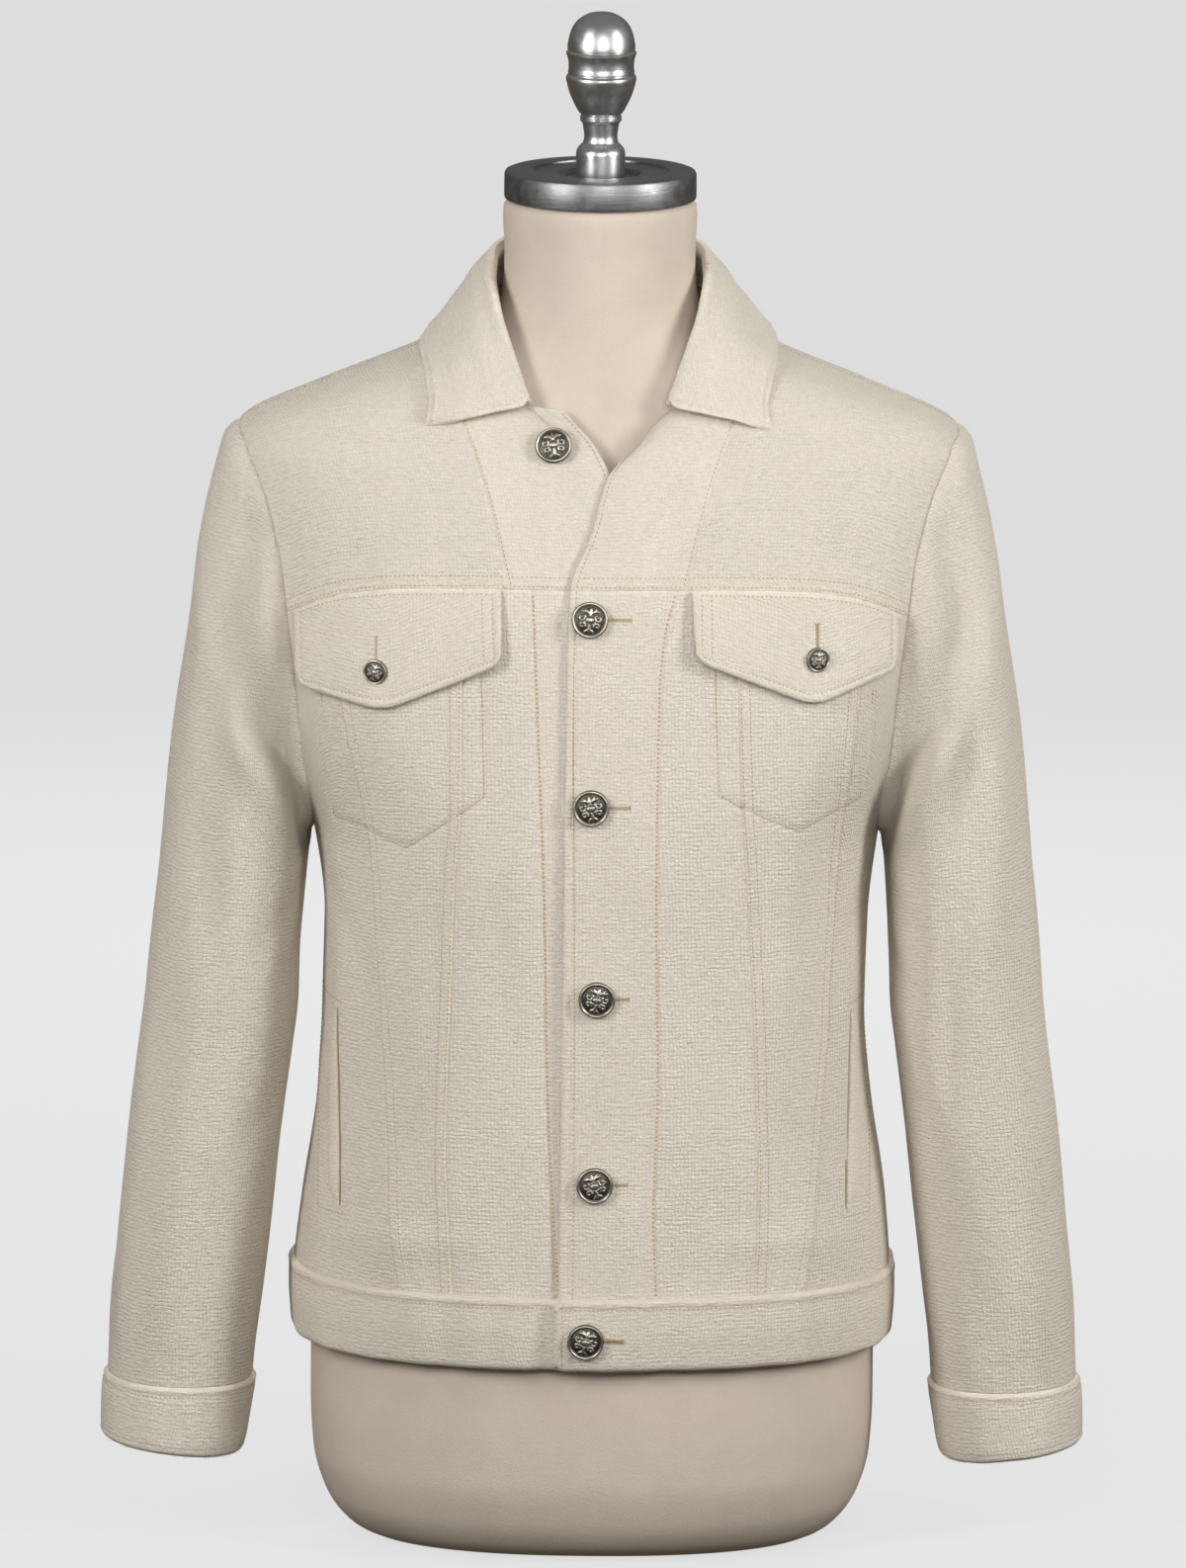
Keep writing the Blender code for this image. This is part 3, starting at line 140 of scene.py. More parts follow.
# Outer x and z, inner x and z, half depth and centre y of the sleeve, from the armhole down
SLEEVE_ROWS = (
    (0.2245, 0.7165, 0.1780, 0.4550, 0.0690, -0.0040),
    (0.2325, 0.7105, 0.1784, 0.4535, 0.0690, -0.0050),
    (0.2405, 0.6850, 0.1786, 0.4515, 0.0700, -0.0060),
    (0.2500, 0.6450, 0.1788, 0.4490, 0.0710, -0.0060),
    (0.2580, 0.5900, 0.1790, 0.4460, 0.0710, -0.0060),
    (0.2665, 0.5300, 0.1794, 0.4420, 0.0700, -0.0060),
    (0.2725, 0.4780, 0.1800, 0.4370, 0.0690, -0.0065),
    (0.2770, 0.4340, 0.1808, 0.4290, 0.0675, -0.0070),
    (0.2797, 0.4050, 0.1832, 0.4020, 0.0660, -0.0075),
    (0.2822, 0.3750, 0.1855, 0.3730, 0.0645, -0.0080),
    (0.2843, 0.3480, 0.1870, 0.3465, 0.0630, -0.0085),
    (0.2878, 0.3180, 0.1912, 0.3165, 0.0615, -0.0090),
    (0.2918, 0.2850, 0.1960, 0.2835, 0.0600, -0.0100),
    (0.2950, 0.2550, 0.2000, 0.2535, 0.0585, -0.0110),
    (0.2985, 0.2200, 0.2040, 0.2185, 0.0565, -0.0120),
    (0.3017, 0.1880, 0.2075, 0.1865, 0.0550, -0.0130),
    (0.3050, 0.1560, 0.2108, 0.1540, 0.0535, -0.0140),
    (0.3067, 0.1300, 0.2135, 0.1280, 0.0525, -0.0145),
    (0.3080, 0.1052, 0.2158, 0.1025, 0.0515, -0.0150),
)
SLEEVE_POWER = 2.15
ARM_FOLD = ((0.440, 168.0), (0.470, 148.0), (0.505, 122.0), (0.535, 97.0), (0.570, 78.0),
            (0.605, 58.0), (0.640, 46.0))
# Outer x and z, inner x and z, half depth, centre y of the cuff, top to bottom
CUFF_ROWS = (
    (0.3088, 0.1048, 0.2150, 0.1021, 0.0523, -0.0150),
    (0.3108, 0.1020, 0.2135, 0.0990, 0.0540, -0.0150),
    (0.3122, 0.0840, 0.2168, 0.0780, 0.0538, -0.0155),
    (0.3124, 0.0690, 0.2200, 0.0600, 0.0530, -0.0160),
    (0.3112, 0.0660, 0.2220, 0.0558, 0.0512, -0.0160),
)
# Height above HEM_Z and distance out of the body surface of the waistband's profile
WAISTBAND_ROWS = ((0.0000, 0.0002), (0.0010, 0.0018), (0.0040, 0.0030), (0.0120, 0.0033),
                  (0.0240, 0.0036), (0.0360, 0.0032), (0.0410, 0.0030), (0.0436, 0.0036),
                  (0.0456, 0.0030), (0.0466, 0.0012))
WAISTBAND_ENDS = (0.0260, -0.0225)
# Angle, roll line radius and height, neckline height, angle and height of the outer edge
COLLAR_ROWS = (
    (30.0, 0.0905, 0.7430, 0.7375, 55.5, 0.7240),
    (38.0, 0.0870, 0.7650, 0.7445, 58.5, 0.7390),
    (48.0, 0.0825, 0.7850, 0.7540, 65.5, 0.7540),
    (66.0, 0.0740, 0.8060, 0.7705, 80.0, 0.7645),
    (90.0, 0.0680, 0.8205, 0.7850, 97.0, 0.7680),
    (120.0, 0.0685, 0.8255, 0.7920, 123.0, 0.7685),
    (150.0, 0.0700, 0.8280, 0.7970, 151.5, 0.7700),
    (180.0, 0.0710, 0.8290, 0.7990, 180.0, 0.7710),
)
# Corners (distance from the centre line, height) of the flaps: top ends, inner, point, outer
FLAPS = {
    "left": ((0.0600, 0.1860), (0.0620, 0.5860), (0.1340, 0.5570), (0.1830, 0.5740)),
    "right": ((0.0610, 0.1870), (0.0600, 0.5830), (0.1315, 0.5520), (0.1830, 0.5620)),
}
WELT_X, WELT_WIDTH, WELT_Z = 0.1640, 0.0070, (0.2240, 0.3520)
# Corners (signed x, height) of the stitched pocket outline that shows below each flap
POCKET_OUTLINE = {
    "left": ((0.0735, 0.583), (0.0770, 0.500), (0.0920, 0.4910), (0.1270, 0.4740),
             (0.1540, 0.4840), (0.1660, 0.4900), (0.1730, 0.560)),
    "right": ((-0.0720, 0.575), (-0.0700, 0.498), (-0.0830, 0.4880), (-0.1190, 0.4620),
              (-0.1430, 0.4700), (-0.1640, 0.4760), (-0.1720, 0.556)),
}
# Name, x, z, radius, distance out of the body surface
BUTTONS = (
    ("front_button_1", -0.0280, 0.7140, 0.0114, 0.0012),
    ("front_button_2", -0.0045, 0.6105, 0.0114, 0.0021),
    ("front_button_3", -0.0030, 0.4930, 0.0114, 0.0021),
    ("front_button_4", 0.0015, 0.3710, 0.0114, 0.0021),
    ("front_button_5", 0.0010, 0.2520, 0.0114, 0.0021),
    ("waistband_button", -0.0040, 0.1530, 0.0114, 0.0060),
    ("flap_button_right", -0.1360, 0.5745, 0.0078, 0.0052),
    ("flap_button_left", 0.1360, 0.5840, 0.0078, 0.0052),
)
OPEN_BUTTON = "front_button_1"
BACK_RUBBED = 0.35         # how bright a button's back is
# Share of a button's radius and height of its face, in radii
BUTTON_DOME = ((0.0, 0.36), (0.42, 0.33), (0.74, 0.235), (0.80, 0.21), (0.90, 0.30),
               (0.97, 0.27), (1.0, 0.16))
# Centre, size, sense and first angle of the ornament's spirals, in radii and radians
SPIRALS = ((0.47, 0.12, 0.21, 1.0, 2.6), (0.41, -0.31, 0.18, -1.0, 3.3))
# Lean, first and last height and width of the ornament's leaves, in radii
LEAVES = ((0.0, 0.24, 0.66, 0.10), (0.30, 0.30, 0.60, 0.075), (0.46, 0.42, 0.50, 0.06),
          (0.0, -0.24, -0.68, 0.09), (0.26, -0.50, -0.66, 0.065))
# Height, half width, front depth, back depth, exponent of the dress form
FORM_ROWS = (
    (0.0000, 0.1300, 0.0780, 0.0680, 2.30), (0.0030, 0.1440, 0.0920, 0.0800, 2.32),
    (0.0120, 0.1580, 0.1050, 0.0910, 2.35), (0.0300, 0.1700, 0.1145, 0.1000, 2.40),
    (0.0550, 0.1770, 0.1200, 0.1050, 2.40), (0.0900, 0.1790, 0.1212, 0.1066, 2.40),
    (0.1320, 0.1790, 0.1210, 0.1062, 2.40), (0.1780, 0.1795, 0.1222, 0.1075, 2.40),
    (0.2300, 0.1735, 0.1212, 0.1040, 2.40), (0.2850, 0.1670, 0.1205, 0.0998, 2.40),
    (0.3450, 0.1630, 0.1200, 0.0975, 2.40), (0.4000, 0.1630, 0.1205, 0.0990, 2.40),
    (0.4550, 0.1690, 0.1215, 0.1040, 2.40), (0.5300, 0.1930, 0.1190, 0.1115, 2.40),
    (0.6060, 0.2100, 0.1130, 0.1155, 2.35), (0.6600, 0.2180, 0.1000, 0.1125, 2.30),
    (0.6850, 0.2190, 0.0905, 0.1060, 2.28), (0.7010, 0.2150, 0.0825, 0.0985, 2.25),
    (0.7120, 0.2030, 0.0775, 0.0925, 2.20), (0.7300, 0.1690, 0.0720, 0.0850, 2.20),
    (0.7500, 0.1240, 0.0670, 0.0765, 2.15), (0.7660, 0.0900, 0.0635, 0.0700, 2.08),
    (0.7800, 0.0700, 0.0618, 0.0645, 2.02), (0.7980, 0.0615, 0.0608, 0.0612, 2.00),
    (0.8250, 0.0600, 0.0600, 0.0600, 2.00), (0.8470, 0.0610, 0.0610, 0.0610, 2.00),
    (0.8540, 0.0604, 0.0604, 0.0604, 2.00), (0.8567, 0.0580, 0.0580, 0.0580, 2.00),
)
# Radius and height, top to bottom
CAP_PROFILE = ((0.0, 0.8700), (0.0235, 0.8700), (0.0248, 0.8704), (0.0254, 0.8731),
               (0.0262, 0.8736), (0.0416, 0.8736), (0.0424, 0.8739), (0.0428, 0.8750),
               (0.0438, 0.8753), (0.0580, 0.8751), (0.0596, 0.8745), (0.0603, 0.8730),
               (0.0604, 0.8660), (0.0604, 0.8592), (0.0600, 0.8578), (0.0590, 0.8573),
               (0.0, 0.8573))
FINIAL_PROFILE = ((0.0, 0.9752), (0.0060, 0.9746), (0.0118, 0.9722), (0.0175, 0.9667),
                  (0.0204, 0.9590), (0.0213, 0.9530), (0.0213, 0.9519), (0.0208, 0.9512),
                  (0.0213, 0.9507), (0.0221, 0.9498), (0.0220, 0.9488), (0.0212, 0.9466),
                  (0.0206, 0.9430), (0.0205, 0.9405), (0.0209, 0.9372), (0.0207, 0.9361),
                  (0.0212, 0.9355), (0.0220, 0.9345), (0.0221, 0.9332), (0.0215, 0.9300),
                  (0.0200, 0.9245), (0.0166, 0.9168), (0.0138, 0.9118), (0.0126, 0.9106),
                  (0.0124, 0.9099), (0.0131, 0.9094), (0.0131, 0.9086), (0.0126, 0.9081),
                  (0.0131, 0.9075), (0.0130, 0.9066), (0.0117, 0.9052), (0.0110, 0.9015),
                  (0.0104, 0.8968), (0.0110, 0.8932), (0.0138, 0.8900), (0.0150, 0.8880),
                  (0.0154, 0.8860), (0.0155, 0.8800), (0.0152, 0.8703), (0.0, 0.8703))

# Body folds: angle and height of both ends in degrees and metres, half width, height out
BODY_FOLDS = (
    (-14.0, 0.600, -13.0, 0.230, 0.009, -0.0016),
    (-21.0, 0.560, -19.0, 0.300, 0.012, 0.0010),
    (-58.0, 0.530, -62.0, 0.300, 0.014, -0.0022),
    (-66.0, 0.500, -70.0, 0.240, 0.013, 0.0018),
    (-52.0, 0.470, -44.0, 0.250, 0.016, 0.0014),
    (-74.0, 0.440, -58.0, 0.360, 0.011, -0.0016),
    (-34.0, 0.330, -56.0, 0.230, 0.013, -0.0012),
    (-30.0, 0.212, -70.0, 0.208, 0.010, 0.0012),
    (58.0, 0.540, 63.0, 0.320, 0.014, -0.0020),
    (67.0, 0.500, 68.0, 0.250, 0.013, 0.0018),
    (50.0, 0.460, 42.0, 0.240, 0.016, 0.0012),
    (75.0, 0.430, 57.0, 0.340, 0.011, -0.0016),
    (33.0, 0.350, 54.0, 0.240, 0.013, -0.0011),
    (26.0, 0.214, 66.0, 0.208, 0.010, 0.0012),
    (24.0, 0.560, 20.0, 0.330, 0.012, -0.0010),
    (10.0, 0.430, 4.0, 0.300, 0.012, 0.0006),
    (-48.0, 0.690, -66.0, 0.610, 0.013, -0.0014),
    (50.0, 0.690, 68.0, 0.610, 0.013, -0.0014),
    (-36.0, 0.700, -40.0, 0.640, 0.014, 0.0010),
    (38.0, 0.700, 42.0, 0.640, 0.014, 0.0010),
    (112.0, 0.560, 128.0, 0.330, 0.016, -0.0024),
    (128.0, 0.580, 140.0, 0.260, 0.017, 0.0018),
    (150.0, 0.540, 146.0, 0.260, 0.016, -0.0018),
    (166.0, 0.580, 170.0, 0.280, 0.016, 0.0014),
    (182.0, 0.550, 178.0, 0.240, 0.015, -0.0016),
    (31.0, 0.702, 15.0, 0.648, 0.007, -0.0036),
    (37.0, 0.692, 22.0, 0.640, 0.008, 0.0026),
    (6.0, 0.162, 26.0, 0.157, 0.009, -0.0024),
    (205.0, 0.580, 212.0, 0.270, 0.017, 0.0018),
    (226.0, 0.570, 220.0, 0.260, 0.016, -0.0020),
    (247.0, 0.560, 232.0, 0.330, 0.016, -0.0024),
    (140.0, 0.240, 200.0, 0.222, 0.011, 0.0012),
    (118.0, 0.680, 110.0, 0.620, 0.014, -0.0014),
    (242.0, 0.680, 250.0, 0.620, 0.014, -0.0014),
)
# Sleeve folds: angle on the sleeve (0 outer, 90 front) and height of both ends, width, height
FRONT_SLEEVE_FOLDS = {
    "left": ((46.0, 0.700, 58.0, 0.580, 0.012, -0.0058),
             (58.0, 0.580, 93.0, 0.416, 0.011, -0.0064),
             (93.0, 0.416, 112.0, 0.290, 0.012, -0.0044),
             (30.0, 0.640, 64.0, 0.400, 0.016, 0.0032)),
    "right": ((50.0, 0.710, 56.0, 0.620, 0.011, -0.0058),
              (56.0, 0.620, 64.0, 0.500, 0.012, -0.0062),
              (64.0, 0.500, 80.0, 0.380, 0.013, -0.0044),
              (84.0, 0.640, 88.0, 0.520, 0.015, 0.0036)),
}
SLEEVE_FOLDS = (
    (84.0, 0.300, 78.0, 0.140, 0.016, 0.0012),
    (110.0, 0.260, 104.0, 0.130, 0.013, -0.0012),
    (150.0, 0.430, 118.0, 0.390, 0.010, -0.0016),
    (168.0, 0.400, 128.0, 0.345, 0.010, -0.0014),
    (150.0, 0.300, 120.0, 0.255, 0.011, -0.0012),
    (6.0, 0.600, 2.0, 0.300, 0.020, -0.0010),
    (20.0, 0.330, 16.0, 0.150, 0.016, 0.0008),
    (-40.0, 0.560, -36.0, 0.280, 0.016, 0.0018),
    (-70.0, 0.600, -72.0, 0.300, 0.016, -0.0022),
    (-104.0, 0.520, -98.0, 0.260, 0.015, 0.0020),
    (-132.0, 0.480, -118.0, 0.400, 0.011, -0.0022),
    (-150.0, 0.430, -120.0, 0.350, 0.011, -0.0018),
    (-60.0, 0.290, -64.0, 0.130, 0.013, -0.0016),
    (-26.0, 0.300, -20.0, 0.130, 0.014, 0.0012),
)


# ---------------------------------------------------------------- numbers
def hex_linear(code: str) -> tuple[float, ...]:
    """Linear colour with full alpha of an sRGB hex code such as 'e8dcc0'."""
    srgb = np.array([int(code[k:k + 2], 16) for k in (0, 2, 4)]) / 255.0
    linear = np.where(srgb <= 0.04045, srgb / 12.92, ((srgb + 0.055) / 1.055) ** 2.4)
    return (*linear.tolist(), 1.0)


def smooth_step(value: Array) -> Array:
    """0 below 0, 1 above 1, with level ends."""
    t = np.clip(value, 0.0, 1.0)
    return t * t * (3.0 - 2.0 * t)


def bell(distance: Array, width: float) -> Array:
    """1 at no distance, falling off as exp(-(distance / width)^2)."""
    return np.exp(-(distance / width) ** 2)


def smooth_table(value: Array, xs: Array, ys: Array) -> Array:
    """Monotone cubic through (xs, ys).

    Args:
        value: Where to read the curve; clipped to the table's range.
        xs: Rising positions.
        ys: Values at them.

    Returns:
        The curve at every value, with no overshoot between rows.
    """
    xs, ys = np.asarray(xs, float), np.asarray(ys, float)
    step = np.diff(xs)
    slope = np.diff(ys) / step
    tangent = np.concatenate(([slope[0]], np.zeros(len(xs) - 2), [slope[-1]]))
    same = slope[:-1] * slope[1:] > 0.0
    weight_a, weight_b = 2.0 * step[1:] + step[:-1], step[1:] + 2.0 * step[:-1]
    safe_a, safe_b = np.where(same, slope[:-1], 1.0), np.where(same, slope[1:], 1.0)
    mean = (weight_a + weight_b) / (weight_a / safe_a + weight_b / safe_b)
    tangent[1:-1] = np.where(same, mean, 0.0)
    value = np.clip(np.asarray(value, float), xs[0], xs[-1])
    k = np.clip(np.searchsorted(xs, value, side="right") - 1, 0, len(xs) - 2)
    t = (value - xs[k]) / step[k]
    return ((1 + 2 * t) * (1 - t) ** 2 * ys[k] + t * (1 - t) ** 2 * step[k] * tangent[k]
            + t * t * (3 - 2 * t) * ys[k + 1] + t * t * (t - 1) * step[k] * tangent[k + 1])


def smooth_pair(value: Array, table: tuple) -> Array:
    """Second column of a table of two, read by the first."""
    return smooth_table(value, *np.array(table).T)


def smooth_columns(value: Array, places: Array, rows: Array) -> list[Array]:
    """Every column of a table whose rows lie at the given places."""
    return [smooth_table(value, places, column) for column in rows.T]


def run_length(points: Array, axis: int = 0) -> Array:
    """Length from the start of a line, or of each line along one axis of a grid, to each point."""
    steps = np.linalg.norm(np.diff(points, axis=axis), axis=-1)
    return np.concatenate([np.zeros_like(steps.take([0], axis)), np.cumsum(steps, axis)], axis)


def read_along(at: Array, places: Array, rows: Array) -> Array:
    """Rows of a table read between their places by straight lines."""
    return np.stack([np.interp(at, places, column) for column in rows.T], -1)


def along_polyline(points: Array, fractions: Array) -> Array:
    """Points at the given shares of a polyline's length."""
    length = run_length(points)
    return read_along(fractions * length[-1], length, points)


def unit(vectors: Array) -> Array:
    """The same directions with length one."""
    return vectors / np.maximum(np.linalg.norm(vectors, axis=-1, keepdims=True), 1e-12)


def sided(points: Array, side: str) -> Array:
    """Points or directions of the left (+X) side, mirrored for the right."""
    return points * np.array([SIDES[side], 1.0, 1.0])


def round_turn(count: int) -> Array:
    """Angles of a full turn in equal steps, without its end."""
    return np.linspace(0.0, FULL_TURN, count, endpoint=False)


def grid_normals(grid: Array, ring: bool = False) -> Array:
    """Unit normals of a (rows, columns, 3) grid by central differences; a ring wraps round."""
    if ring:
        across = np.roll(grid, -1, axis=1) - np.roll(grid, 1, axis=1)
    else:
        across = np.gradient(grid, axis=1)
    normal = unit(np.cross(across, np.gradient(grid, axis=0)))
    if ring and np.sum(normal * (grid - grid.mean(axis=1, keepdims=True))) < 0.0:
        normal = -normal
    return normal


# ---------------------------------------------------------------- surfaces
@dataclass(frozen=True)
class SectionSurface:
    """A surface about Z with level sections of superellipse shape and two depths.

    At height z and angle a from the front toward +X the radius is
    (|sin a / half width|^p + |cos a / depth|^p)^(-1/p).
    """

    rows: tuple[tuple[float, ...], ...]

    def section(self, z: Array) -> list[Array]:
        """Half width, front depth, back depth and exponent at a height."""
        table = np.array(self.rows)
        return smooth_columns(z, table[:, 0], table[:, 1:])

    def point(self, angle: Array, z: Array) -> Array:
        """Points at the given angles and heights."""
        angle, z = np.asarray(angle, float), np.asarray(z, float)
        half, front, back, power = self.section(z)
        sine, cosine = np.sin(angle), np.cos(angle)
        depth = np.where(cosine >= 0.0, front, back)
        radius = (np.abs(sine / half) ** power + np.abs(cosine / depth) ** power) ** (-1 / power)
        return np.stack([radius * sine, -radius * cosine, np.broadcast_to(z, radius.shape)], -1)

    def normal(self, angle: Array, z: Array) -> Array:
        """Outward unit normals by central differences."""
        angle, z = np.asarray(angle, float), np.asarray(z, float)
        along = self.point(angle + 0.01, z) - self.point(angle - 0.01, z)
        upward = self.point(angle, z + 0.002) - self.point(angle, z - 0.002)
        return unit(np.cross(along, upward))

    def angle_of_x(self, x: Array, z: Array) -> Array:
        """Angle of the front point with a given x at a height."""
        half, front, _, power = self.section(z)
        rest = np.maximum(1.0 - np.abs(x / half) ** power, 0.0)
        return np.arctan2(x, front * rest ** (1.0 / power))

    def angle_of_y(self, y: Array, z: Array) -> Array:
        """Angle of the +X side's point with a given y at a height."""
        half, front, back, power = self.section(z)
        depth = np.where(np.asarray(y) <= 0.0, front, back)
        rest = np.maximum(1.0 - np.abs(y / depth) ** power, 0.0)
        return np.arctan2(half * rest ** (1.0 / power), -np.asarray(y))


@dataclass(frozen=True)
class FoldField:
    """Soft uneven folds on a surface unrolled to (angle, height).

    Each fold adds height * exp(-(distance from its line / width)^2), fading to its ends. The
    ripple is a sum of waves with whole numbers of turns, so it closes round the body.
    """

    folds: tuple[tuple[float, ...], ...]
    reach: float
    ripple: float
    seed: int

    def height(self, angle: Array, z: Array) -> Array:
        """Distance out of the smooth surface at every angle (radians) and height."""
        angle, z = np.broadcast_arrays(np.asarray(angle, float), np.asarray(z, float))
        total = np.zeros(angle.shape)
        for turn_a, z_a, turn_b, z_b, width, out in self.folds:
            across = self.reach * self.wrapped(angle - math.radians(turn_a))
            line = self.reach * math.radians(turn_b - turn_a)
            rise = z_b - z_a
            share = np.clip((across * line + (z - z_a) * rise) / (line ** 2 + rise ** 2), 0, 1)
            away = (across - share * line) ** 2 + (z - z_a - share * rise) ** 2
            total += out * np.exp(-away / width ** 2) * (0.3 + 0.7 * np.sin(math.pi * share))
        waves = np.random.default_rng(self.seed)
        for turns in (3, 4, 5, 6, 7, 9, 10, 12, 14, 17, 19, 22):
            climb, phase = waves.uniform(-45.0, 45.0), waves.uniform(0.0, FULL_TURN)
            total += (self.ripple * 2.2 / (turns + 4.0)) * np.cos(turns * angle + climb * z + phase)
        return total

    @staticmethod
    def wrapped(angle: Array) -> Array:
        """The angle brought between -pi and pi."""
        return (angle + math.pi) % FULL_TURN - math.pi


BODY = SectionSurface(BODY_ROWS)
FORM = SectionSurface(FORM_ROWS)
BODY_DRAPE = FoldField(BODY_FOLDS, BODY_REACH, 0.0011, 11)
SLEEVE_DRAPE = {side: FoldField(FRONT_SLEEVE_FOLDS[side] + SLEEVE_FOLDS, SLEEVE_REACH, 0.0007, seed)
                for side, seed in (("left", 23), ("right", 31))}


def body_drape(angle: Array, z: Array) -> Array:
    """Fold height on the body, dying out at the neckline and on the shoulders."""
    calm = 1.0 - 0.8 * smooth_step((np.asarray(z) - 0.675) / 0.05)
    return BODY_DRAPE.height(angle, z) * calm


def lap_lift(side: str, x: Array) -> Array:
    """Distance out of the body surface of a front layer where the two fronts lap."""
    if side == "left":
        return OVERLAP_LIFT * smooth_step((0.037 - x) / 0.012)
    return -OVERLAP_LIFT * smooth_step((x + 0.033) / 0.011)


def draped_point(angle: Array, z: Array, out: Array = 0.0) -> Array:
    """Points of the draped body surface, moved out by a further distance."""
    rise = body_drape(angle, z) + out
    return BODY.point(angle, z) + np.asarray(rise)[..., None] * BODY.normal(angle, z)


def on_front(x: Array, z: Array, out: Array) -> tuple[Array, Array]:
    """Points of the draped front at a given x and height, moved out, and the normals there."""
    angle = BODY.angle_of_x(x, z)
    return draped_point(angle, z, out), BODY.normal(angle, z)


# ---------------------------------------------------------------- edges and borders
class EdgeKind(Enum):
    """How one border of a cloth piece is finished."""

    SEAM = "seam"
    FELLED = "felled seam"
    TURNED = "turned edge"
    PLAIN = "plain"


SEAM, FELLED, TURNED, PLAIN = EdgeKind

# Distances from a border at which grid lines lie, so that its relief is resolved
BORDER_LINES = {
    SEAM: (0.0, 0.0005, 0.0011, 0.0019, 0.0030, 0.0045),
    FELLED: (0.0, 0.0005, 0.0011, 0.0019, 0.0030, 0.0045, 0.0060, 0.0067, 0.0074, 0.0081, 0.0090,
             0.0106),
    TURNED: (0.0, 0.0005, 0.0011, 0.0019, 0.0028, 0.0035, 0.0042, 0.0049, 0.0060, 0.0078),
    PLAIN: (0.0,),
}


def spread(length: float, cell: float, first: EdgeKind, last: EdgeKind) -> Array:
    """Shares of a length at which grid lines lie, close together beside its two borders.

    Args:
        length: Real length in metres.
        cell: Spacing away from the borders.
        first: Finish of the border at share 0.
        last: Finish of the border at share 1.

    Returns:
        Rising shares from 0 to 1.
    """
    head = np.array(BORDER_LINES[first])
    tail = length - np.array(BORDER_LINES[last])[::-1]
    count = max(int(round((tail[0] - head[-1]) / cell)), 1)
    middle = np.linspace(head[-1], tail[0], count + 1)[1:-1]
    return np.concatenate([head, middle, tail]) / length


def edge_relief(kind: EdgeKind, away: Array) -> Array:
    """Height out of the cloth at a distance from a border.

    A seam rolls in as -(1 - d / 2.4 mm)^2, a felled seam adds a level ridge that ends in the
    dip of its second stitch row, and a turned edge swells before the dip of its stitch row.
    """
    if kind is PLAIN:
        return np.zeros_like(away)
    if kind is TURNED:
        return 0.00036 * bell(away - 0.0019, 0.0017) - 0.00048 * bell(away - EDGE_ROW, 0.0009)
    roll = -0.0008 * (1.0 - np.clip(away / 0.0022, 0.0, 1.0)) ** 2
    if kind is SEAM:
        return roll
    ridge = 0.00050 * smooth_step(away / 0.0016) * smooth_step((0.0094 - away) / 0.0018)
    return roll + ridge - 0.00045 * bell(away - FELLED_ROWS[1], 0.0008)


def coons(bottom: Array, top: Array, start: Array, end: Array, u: Array, v: Array) -> Array:
    """Transfinite patch between four edges already sampled at the shares u and v."""
    u, v = u[None, :, None], v[:, None, None]
    ruled = (1 - v) * bottom[None] + v * top[None] + (1 - u) * start[:, None] + u * end[:, None]
    corners = ((1 - u) * (1 - v) * bottom[0] + u * (1 - v) * bottom[-1]
               + (1 - u) * v * top[0] + u * v * top[-1])
    return ruled - corners


def sample(path: Array, fractions: Array) -> Array:
    """(angle, z) points at the given shares of a path's length on the body."""
    length = run_length(BODY.point(*path.T))
    return read_along(fractions * length[-1], length, path)


def path_length(path: Array) -> float:
    """Length on the body of an (angle, z) path."""
    return float(np.linalg.norm(np.diff(BODY.point(*path.T), axis=0), axis=1).sum())


# ---------------------------------------------------------------- meshes
def new_mesh_object(name: str, vertices: Array, faces: list[Array], material: Material,
                    corner_uv: Array | None = None, sharp: float = 55.0) -> bpy.types.Object:
    """Make one object from whole arrays, faces turned out and shaded smooth.

    Args:
        name: Object and mesh name.
        vertices: (n, 3) points in the row frame.
        faces: Arrays of vertex numbers, one per polygon size.
        material: Its only material.
        corner_uv: (corners, 2) UV in metres in face order, if any.
        sharp: Edge angle in degrees above which shading breaks.

    Returns:
        The linked object.
    """
    signed = 0.0
    for group in faces:
        for k in range(1, group.shape[1] - 1):
            a, b, c = (vertices[group[:, j]] for j in (0, k, k + 1))
            signed += float(np.einsum("ij,ij->", a, np.cross(b, c)))
    if signed < 0.0:
        faces = [group[:, ::-1] for group in faces]
        if corner_uv is not None:
            corner_uv = corner_uv.reshape(-1, 4, 2)[:, ::-1].reshape(-1, 2)
    mesh = bpy.data.meshes.new(name)
    mesh.from_pydata(vertices.tolist(), [], [row for group in faces for row in group.tolist()])
    if corner_uv is not None:
        layer = mesh.uv_layers.new(name="cloth")
        layer.data.foreach_set("uv", corner_uv.astype(np.float32).ravel())
    mesh.materials.append(material)
    mesh.shade_smooth()
    mesh.set_sharp_from_angle(angle=math.radians(sharp))
    obj = bpy.data.objects.new(name, mesh)
    bpy.context.scene.collection.objects.link(obj)
    return obj


def quads(index: Array) -> Array:
    """The four corners of every cell of a grid of numbers."""
    corners = [index[:-1, :-1], index[:-1, 1:], index[1:, 1:], index[1:, :-1]]
    return np.stack(corners, -1).reshape(-1, 4)


def closed(grid: Array) -> Array:
    """A ring's grid with its first column again after its last."""
    return np.concatenate([grid, grid[:, :1]], axis=1)


